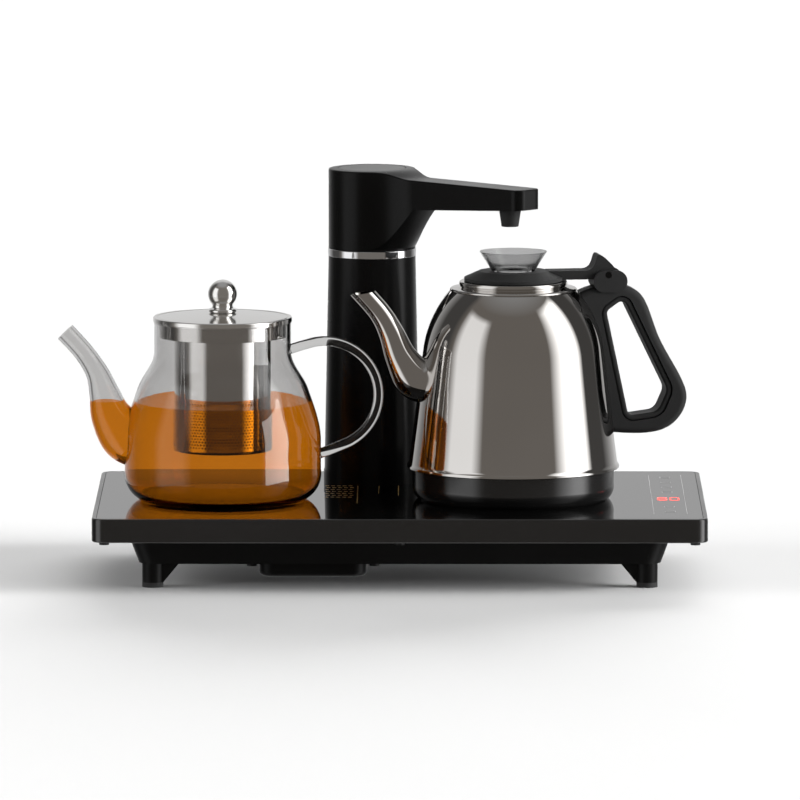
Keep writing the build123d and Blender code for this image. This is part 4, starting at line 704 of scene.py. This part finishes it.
# tea: fills body and spout to one level
teaShape = potSolid(wall - teaSetup["seep"], floorGlass - teaSetup["seep"], teapotGlass["top"])
teaLevel = (0, 0, glassTop + teaSetup["level"] * mm)
teaCut = bmesh.ops.bisect_plane(
    teaShape, geom=teaShape.verts[:] + teaShape.edges[:] + teaShape.faces[:], dist=cutReach,
    plane_co=teaLevel, plane_no=(0, 0, 1), clear_outer=True,
)
teaEdges = [part for part in teaCut["geom_cut"] if isinstance(part, bmesh.types.BMEdge)]
bmesh.ops.holes_fill(teaShape, edges=teaEdges, sides=0)
bmesh.ops.recalc_face_normals(teaShape, faces=teaShape.faces)
pieceFrom("tea", teaShape, "teapot", teaAmber, sharp=40)
print("teapot filled")

# infuser: steel basket with a pierced lower wall
infuser = {
    "basket": 29.4, "low": 30.0, "collar": 38.4, "collarLow": 99.5, "flange": 41.9, "rim": 108.0,
    "sheet": 0.6,
    "corner": [(-1.6, 0.0), (-0.5, 0.5), (0.0, 1.6), (0.0, 2.2)],  # out and up from the basket's foot
    "brow": 0.8,  # of the plain wall below the collar
}
sheet = infuser["sheet"]
cornerOut = infuser["corner"]
cornerIn = [cornerOut[3], cornerOut[2], cornerOut[0]]
basketIn, collarIn = infuser["basket"] - sheet, infuser["collar"] - sheet
basketProfile = [(0, infuser["low"])]
basketProfile += [(infuser["basket"] + out, infuser["low"] + up) for out, up in cornerOut]
basketProfile += [
    (infuser["basket"], infuser["collarLow"] - infuser["brow"]),
    (infuser["basket"], infuser["collarLow"]),
    (infuser["collar"], infuser["collarLow"]),
    (infuser["collar"], infuser["rim"]),
    (infuser["flange"], infuser["rim"]),
    (infuser["flange"], infuser["rim"] + sheet),
    (collarIn, infuser["rim"] + sheet),
    (collarIn, infuser["collarLow"] + sheet),
    (basketIn, infuser["collarLow"] + sheet),
    (basketIn, infuser["collarLow"] - infuser["brow"]),
]
basketProfile += [(basketIn + out, infuser["low"] + sheet + up) for out, up in cornerIn]
basketProfile.append((0, infuser["low"] + sheet))
basketShape = turnedMesh(basketProfile, teapotAxis)
pieceFrom("infuserBasket", basketShape, "strainer", infuserSteel, ["infuser"], softEdge=0.15)

# teapot lid: pressed dome with a skirt, and a ball knob
potLid = {
    "radius": 42.2, "low": 108.6, "edge": 2.8, "crown": 2.6, "crownSteps": 16, "sheet": 0.8,
    "rim": [(-2.7, -0.5), (-2.2, -0.5), (-1.7, 0.1), (-0.6, 0.2), (0.0, -0.4)],  # out and up from the edge
    "rimWidth": 3.0,
    "underDrop": 0.5,
    "skirt": 36.6, "skirtLow": 102.0, "skirtDrop": 0.7,
}


def crownLine(radius, edge):
    rise = potLid["crown"]
    ball = (radius**2 + rise**2) / (2 * rise)
    reaches = [radius * k / potLid["crownSteps"] for k in range(potLid["crownSteps"] + 1)]
    return [(out, edge + rise - ball + math.sqrt(ball**2 - out**2)) for out in reaches]


lidEdge, lidSheet = potLid["radius"], potLid["sheet"]
skirtOut, skirtIn = potLid["skirt"], potLid["skirt"] - lidSheet
rimHigh = potLid["low"] + potLid["edge"]
skirtHigh = rimHigh - potLid["skirtDrop"]
lidUnder = crownLine(lidEdge - lidSheet, rimHigh - potLid["underDrop"] - lidSheet)
lidProfile = crownLine(lidEdge - potLid["rimWidth"], rimHigh)
lidProfile += [(lidEdge + out, rimHigh + up) for out, up in potLid["rim"]]
lidProfile += [(lidEdge, potLid["low"]), (lidEdge - lidSheet, potLid["low"])]
lidProfile += [point for point in reversed(lidUnder) if point[0] > skirtOut]
lidProfile += [(skirtOut, skirtHigh), (skirtOut, potLid["skirtLow"])]
lidProfile += [(skirtIn, potLid["skirtLow"]), (skirtIn, skirtHigh)]
lidProfile += [point for point in reversed(lidUnder) if point[0] < skirtIn]
lidShape = turnedMesh(lidProfile, teapotAxis)
pieceFrom("teapotLid", lidShape, "pot_lid", potSteel, ["teapot_lid"], softEdge=0.25)

potKnob = {
    "ball": 8.8,
    "middle": 125.2,
    "ballSteps": 28,
    "ballShare": 0.96,  # of the ball's way down to the waist
    "waist": [(6.1, 118.1), (6.6, 116.9), (7.9, 116.2), (8.5, 115.2), (8.3, 114.4), (7.8, 114.0)],
    "waistSteps": 4,
    "turns": 96,
}
ballMiddle = Vector((0.0, potKnob["middle"]))
ballFrom = math.pi / 2
ballTo = -math.acos(potKnob["waist"][0][0] / potKnob["ball"]) * potKnob["ballShare"]
knobProfile = [(0.0, potKnob["middle"] + potKnob["ball"])]
for k in range(1, potKnob["ballSteps"] + 1):
    turn = ballFrom + (ballTo - ballFrom) * k / potKnob["ballSteps"]
    knobProfile.append(tuple(onCircle(ballMiddle, potKnob["ball"], turn)))
knobProfile += [tuple(point) for point in curveThrough(potKnob["waist"], potKnob["waistSteps"])]
knobProfile.append((0.0, potKnob["waist"][-1][1]))
knobShape = turnedMesh(knobProfile, teapotAxis, potKnob["turns"])
pieceFrom("lidKnob", knobShape, "pot_lid", potSteel, ["lid_knob"])
print("infuser and lid dressed")

# printing on the glass: plain bars, each a film on the panel, placed from the tray's middle
panelPrint = {"film": 0.05, "line": 0.35}


def addFilm(shape, x, y, width, depth):
    place = Vector((trayMiddle.x + x * mm, trayMiddle.y + y * mm, glassTop + panelPrint["film"] * mm / 2))
    size = Matrix.Diagonal((width * mm, depth * mm, panelPrint["film"] * mm, 1))
    bmesh.ops.create_cube(shape, size=1.0, matrix=Matrix.Translation(place) @ size)


touchStrip = {
    "right": 163.0, "half": 10.0, "front": -90.0, "back": 95.0, "display": -19.0,
    "keys": 8, "key": 6.0, "firstKey": 12.0, "pitch": 23.0,
    "displayRoom": 16.0,  # to each side of the display, without a key
}
stripShape = bmesh.new()
stripX, halfKey = touchStrip["right"], touchStrip["key"] / 2
for side in (-1, 1):
    addFilm(
        stripShape, stripX + side * touchStrip["half"], (touchStrip["front"] + touchStrip["back"]) / 2,
        panelPrint["line"], touchStrip["back"] - touchStrip["front"],
    )
for step in range(touchStrip["keys"]):
    keyY = touchStrip["front"] + touchStrip["firstKey"] + step * touchStrip["pitch"]
    if abs(keyY - touchStrip["display"]) > touchStrip["displayRoom"]:
        for side in (-1, 1):
            addFilm(stripShape, stripX + side * halfKey, keyY, panelPrint["line"], touchStrip["key"])
            addFilm(stripShape, stripX, keyY + side * halfKey, touchStrip["key"], panelPrint["line"])
pieceFrom("stripPrint", stripShape, "tray", printGrey)

digits = {"gap": 7.4, "width": 5.0, "depth": 13.0, "bar": 1.1, "shown": ("abcdefg", "abcdef")}
digitShape = bmesh.new()
for index, segments in enumerate(digits["shown"]):
    x = touchStrip["right"] + (index - 0.5) * digits["gap"]
    y = touchStrip["display"]
    halfX, halfY, bar = digits["width"] / 2, digits["depth"] / 2, digits["bar"]
    where = {  # across, along, and whether the bar lies level
        "a": (0, halfY, True), "d": (0, -halfY, True), "g": (0, 0, True),
        "b": (halfX, halfY / 2, False), "c": (halfX, -halfY / 2, False),
        "e": (-halfX, -halfY / 2, False), "f": (-halfX, halfY / 2, False),
    }
    for segment in segments:
        dx, dy, level = where[segment]
        width, depth = (digits["width"] - bar, bar * 2) if level else (bar, halfY - bar)
        addFilm(digitShape, x + dx, y + dy, width, depth)
pieceFrom("digits", digitShape, "tray", digitGlow)

goldPrint = {
    "block": (-37.7, 16.0), "rows": 7, "rowPitch": 9.0,
    "dashes": 5, "dash": (2.4, 2.2), "dashPitch": 3.6, "rowShift": 0.9,
    "edge": (-26.0, 1.5, 0.5, 81.0),
    "shortLines": [(-13.1, 23.5, 0.4, 35.0), (-1.1, 20.5, 0.4, 49.0)],
}
goldShape = bmesh.new()
blockX, blockY = goldPrint["block"]
for row in range(goldPrint["rows"]):
    rowX = blockX + goldPrint["rowShift"] * (row % 2)
    rowY = blockY + (row - (goldPrint["rows"] - 1) / 2) * goldPrint["rowPitch"]
    for dash in range(goldPrint["dashes"]):
        dashX = rowX + (dash - (goldPrint["dashes"] - 1) / 2) * goldPrint["dashPitch"]
        addFilm(goldShape, dashX, rowY, *goldPrint["dash"])
for printedLine in [goldPrint["edge"], *goldPrint["shortLines"]]:
    addFilm(goldShape, *printedLine)
pieceFrom("goldPrint", goldShape, "tray", printGold)
print("panel printed")


# world: warm dark room in front, a tall soft box at each side, pale behind and overhead
worldSetup = {
    "front": (0.18, 0.165, 0.15),
    "side": (0.07, 0.068, 0.066),
    "back": grey(0.66),
    "overhead": grey(0.3),
    "leftBox": {"light": grey(1.1), "inner": (36.0, 48.0), "outer": (76.0, 88.0), "top": (0.64, 0.71)},
    "rightBox": {"light": grey(3.0), "inner": (47.0, 74.0), "outer": (86.0, 98.0), "top": (0.74, 0.82)},
    "backFrom": (122.0, 158.0),
    "topFrom": (0.78, 0.95),
}
world = bpy.data.worlds.new("studio")
world.use_nodes = True
bpy.context.scene.world = world
worldTree = world.node_tree
worldShader = worldTree.nodes["Background"]
worldPlace = worldTree.nodes.new("ShaderNodeTexCoord").outputs["Generated"]
worldSplit = worldTree.nodes.new("ShaderNodeSeparateXYZ")
worldTree.links.new(worldPlace, worldSplit.inputs["Vector"])
towardCamera = addMath(worldTree, "MULTIPLY", worldSplit.outputs["Y"], -1.0)
turnRight = addMath(worldTree, "ARCTAN2", worldSplit.outputs["X"], towardCamera)
turnRight = addMath(worldTree, "MULTIPLY", turnRight, 180 / math.pi)
turnLeft = addMath(worldTree, "MULTIPLY", turnRight, -1.0)
turnAway = addMath(worldTree, "ABSOLUTE", turnRight)


def boxMask(turned, box):
    start = addRange(worldTree, turned, *box["inner"], 0.0, 1.0)
    end = addRange(worldTree, turned, *box["outer"], 1.0, 0.0)
    top = addRange(worldTree, worldSplit.outputs["Z"], *box["top"], 1.0, 0.0)
    return addMath(worldTree, "MULTIPLY", addMath(worldTree, "MULTIPLY", start, end), top)


backMask = addRange(worldTree, turnAway, *worldSetup["backFrom"], 0.0, 1.0)
sideMask = addRange(worldTree, turnAway, *worldSetup["rightBox"]["outer"], 0.0, 1.0)
topMask = addRange(worldTree, worldSplit.outputs["Z"], *worldSetup["topFrom"], 0.0, 1.0)


def layWorld(under, mask, colour):
    mix = worldTree.nodes.new("ShaderNodeMix")
    mix.data_type = "RGBA"
    mix.inputs["B"].default_value = (*colour, 1)
    if isinstance(under, tuple):
        mix.inputs["A"].default_value = (*under, 1)
    else:
        worldTree.links.new(under, mix.inputs["A"])
    worldTree.links.new(mask, mix.inputs["Factor"])
    return mix.outputs["Result"]


sky = layWorld(worldSetup["front"], sideMask, worldSetup["side"])
sky = layWorld(sky, backMask, worldSetup["back"])
sky = layWorld(sky, topMask, worldSetup["overhead"])
for turned, box in ((turnLeft, worldSetup["leftBox"]), (turnRight, worldSetup["rightBox"])):
    sky = layWorld(sky, boxMask(turned, box), box["light"])
worldTree.links.new(sky, worldShader.inputs["Color"])
worldShader.inputs["Strength"].default_value = 1.0
world.cycles_visibility.diffuse = False
print("world made")


# lights
sunsAway = 3.0


def addSun(name, turned, height, spread, strength):
    # a far soft light: turned right from straight behind, and raised, in degrees
    light = bpy.data.lights.new(name, "SUN")
    light.energy = strength
    light.angle = math.radians(spread)
    lamp = bpy.data.objects.new(name, light)
    away = Vector((0, math.cos(math.radians(height)), math.sin(math.radians(height))))
    away.rotate(Matrix.Rotation(-math.radians(turned), 3, "Z"))
    lamp.rotation_euler = (-away).to_track_quat("-Z", "Y").to_euler()
    lamp.location = away * sunsAway
    lamp.visible_glossy = False
    lamp.visible_transmission = False
    bpy.context.scene.collection.objects.link(lamp)


sunSetup = {
    "backSun": {"turned": 10, "height": 17, "spread": 44, "strength": 9.0},
    "rightSun": {"turned": 96, "height": 11, "spread": 44, "strength": 14.0},
    "leftSun": {"turned": -98, "height": 13, "spread": 50, "strength": 4.0},
    "frontSun": {"turned": 180, "height": 40, "spread": 90, "strength": 0.4},
}
for sunName, sun in sunSetup.items():
    addSun(sunName, **sun)

# a tall window at the right, which only the teapot's glass picks up
windowSetup = {"turned": 67.5, "away": 2.0, "width": 1.15, "height": 1.6, "middle": 0.15, "power": 40.0}
windowLight = bpy.data.lights.new("window", "AREA")
windowLight.shape = "RECTANGLE"
windowLight.size, windowLight.size_y = windowSetup["width"], windowSetup["height"]
windowLight.energy = windowSetup["power"]
window = bpy.data.objects.new("window", windowLight)
outward = Matrix.Rotation(math.radians(windowSetup["turned"]), 3, "Z") @ Vector((0, -1, 0))
window.location = outward * windowSetup["away"] + Vector((teapotAxis.x, teapotAxis.y, windowSetup["middle"]))
window.rotation_euler = (-outward).to_track_quat("-Z", "Y").to_euler()
window.visible_camera = False
window.visible_transmission = False
bpy.context.scene.collection.objects.link(window)
glassOnly = bpy.data.collections.new("glassOnly")
glassOnly.objects.link(teapotPiece)
window.light_linking.receiver_collection = glassOnly
print("lights placed")


# floor
floorSetup = {"half": 30.0}
floorMesh = bmesh.new()
bmesh.ops.create_grid(floorMesh, x_segments=1, y_segments=1, size=floorSetup["half"])
floorData = bpy.data.meshes.new("floor")
floorMesh.to_mesh(floorData)
floorMesh.free()
floor = bpy.data.objects.new("floor", floorData)
bpy.context.scene.collection.objects.link(floor)
floorPaper = mouldedFinish("floorPaper", grey(0.46), grey(0.475), 0.75, 0.85, 400.0, 0.05, 0.3, 1.5)
floorData.materials.append(floorPaper)
floor.visible_glossy = False
floor.visible_transmission = False
print("floor laid")
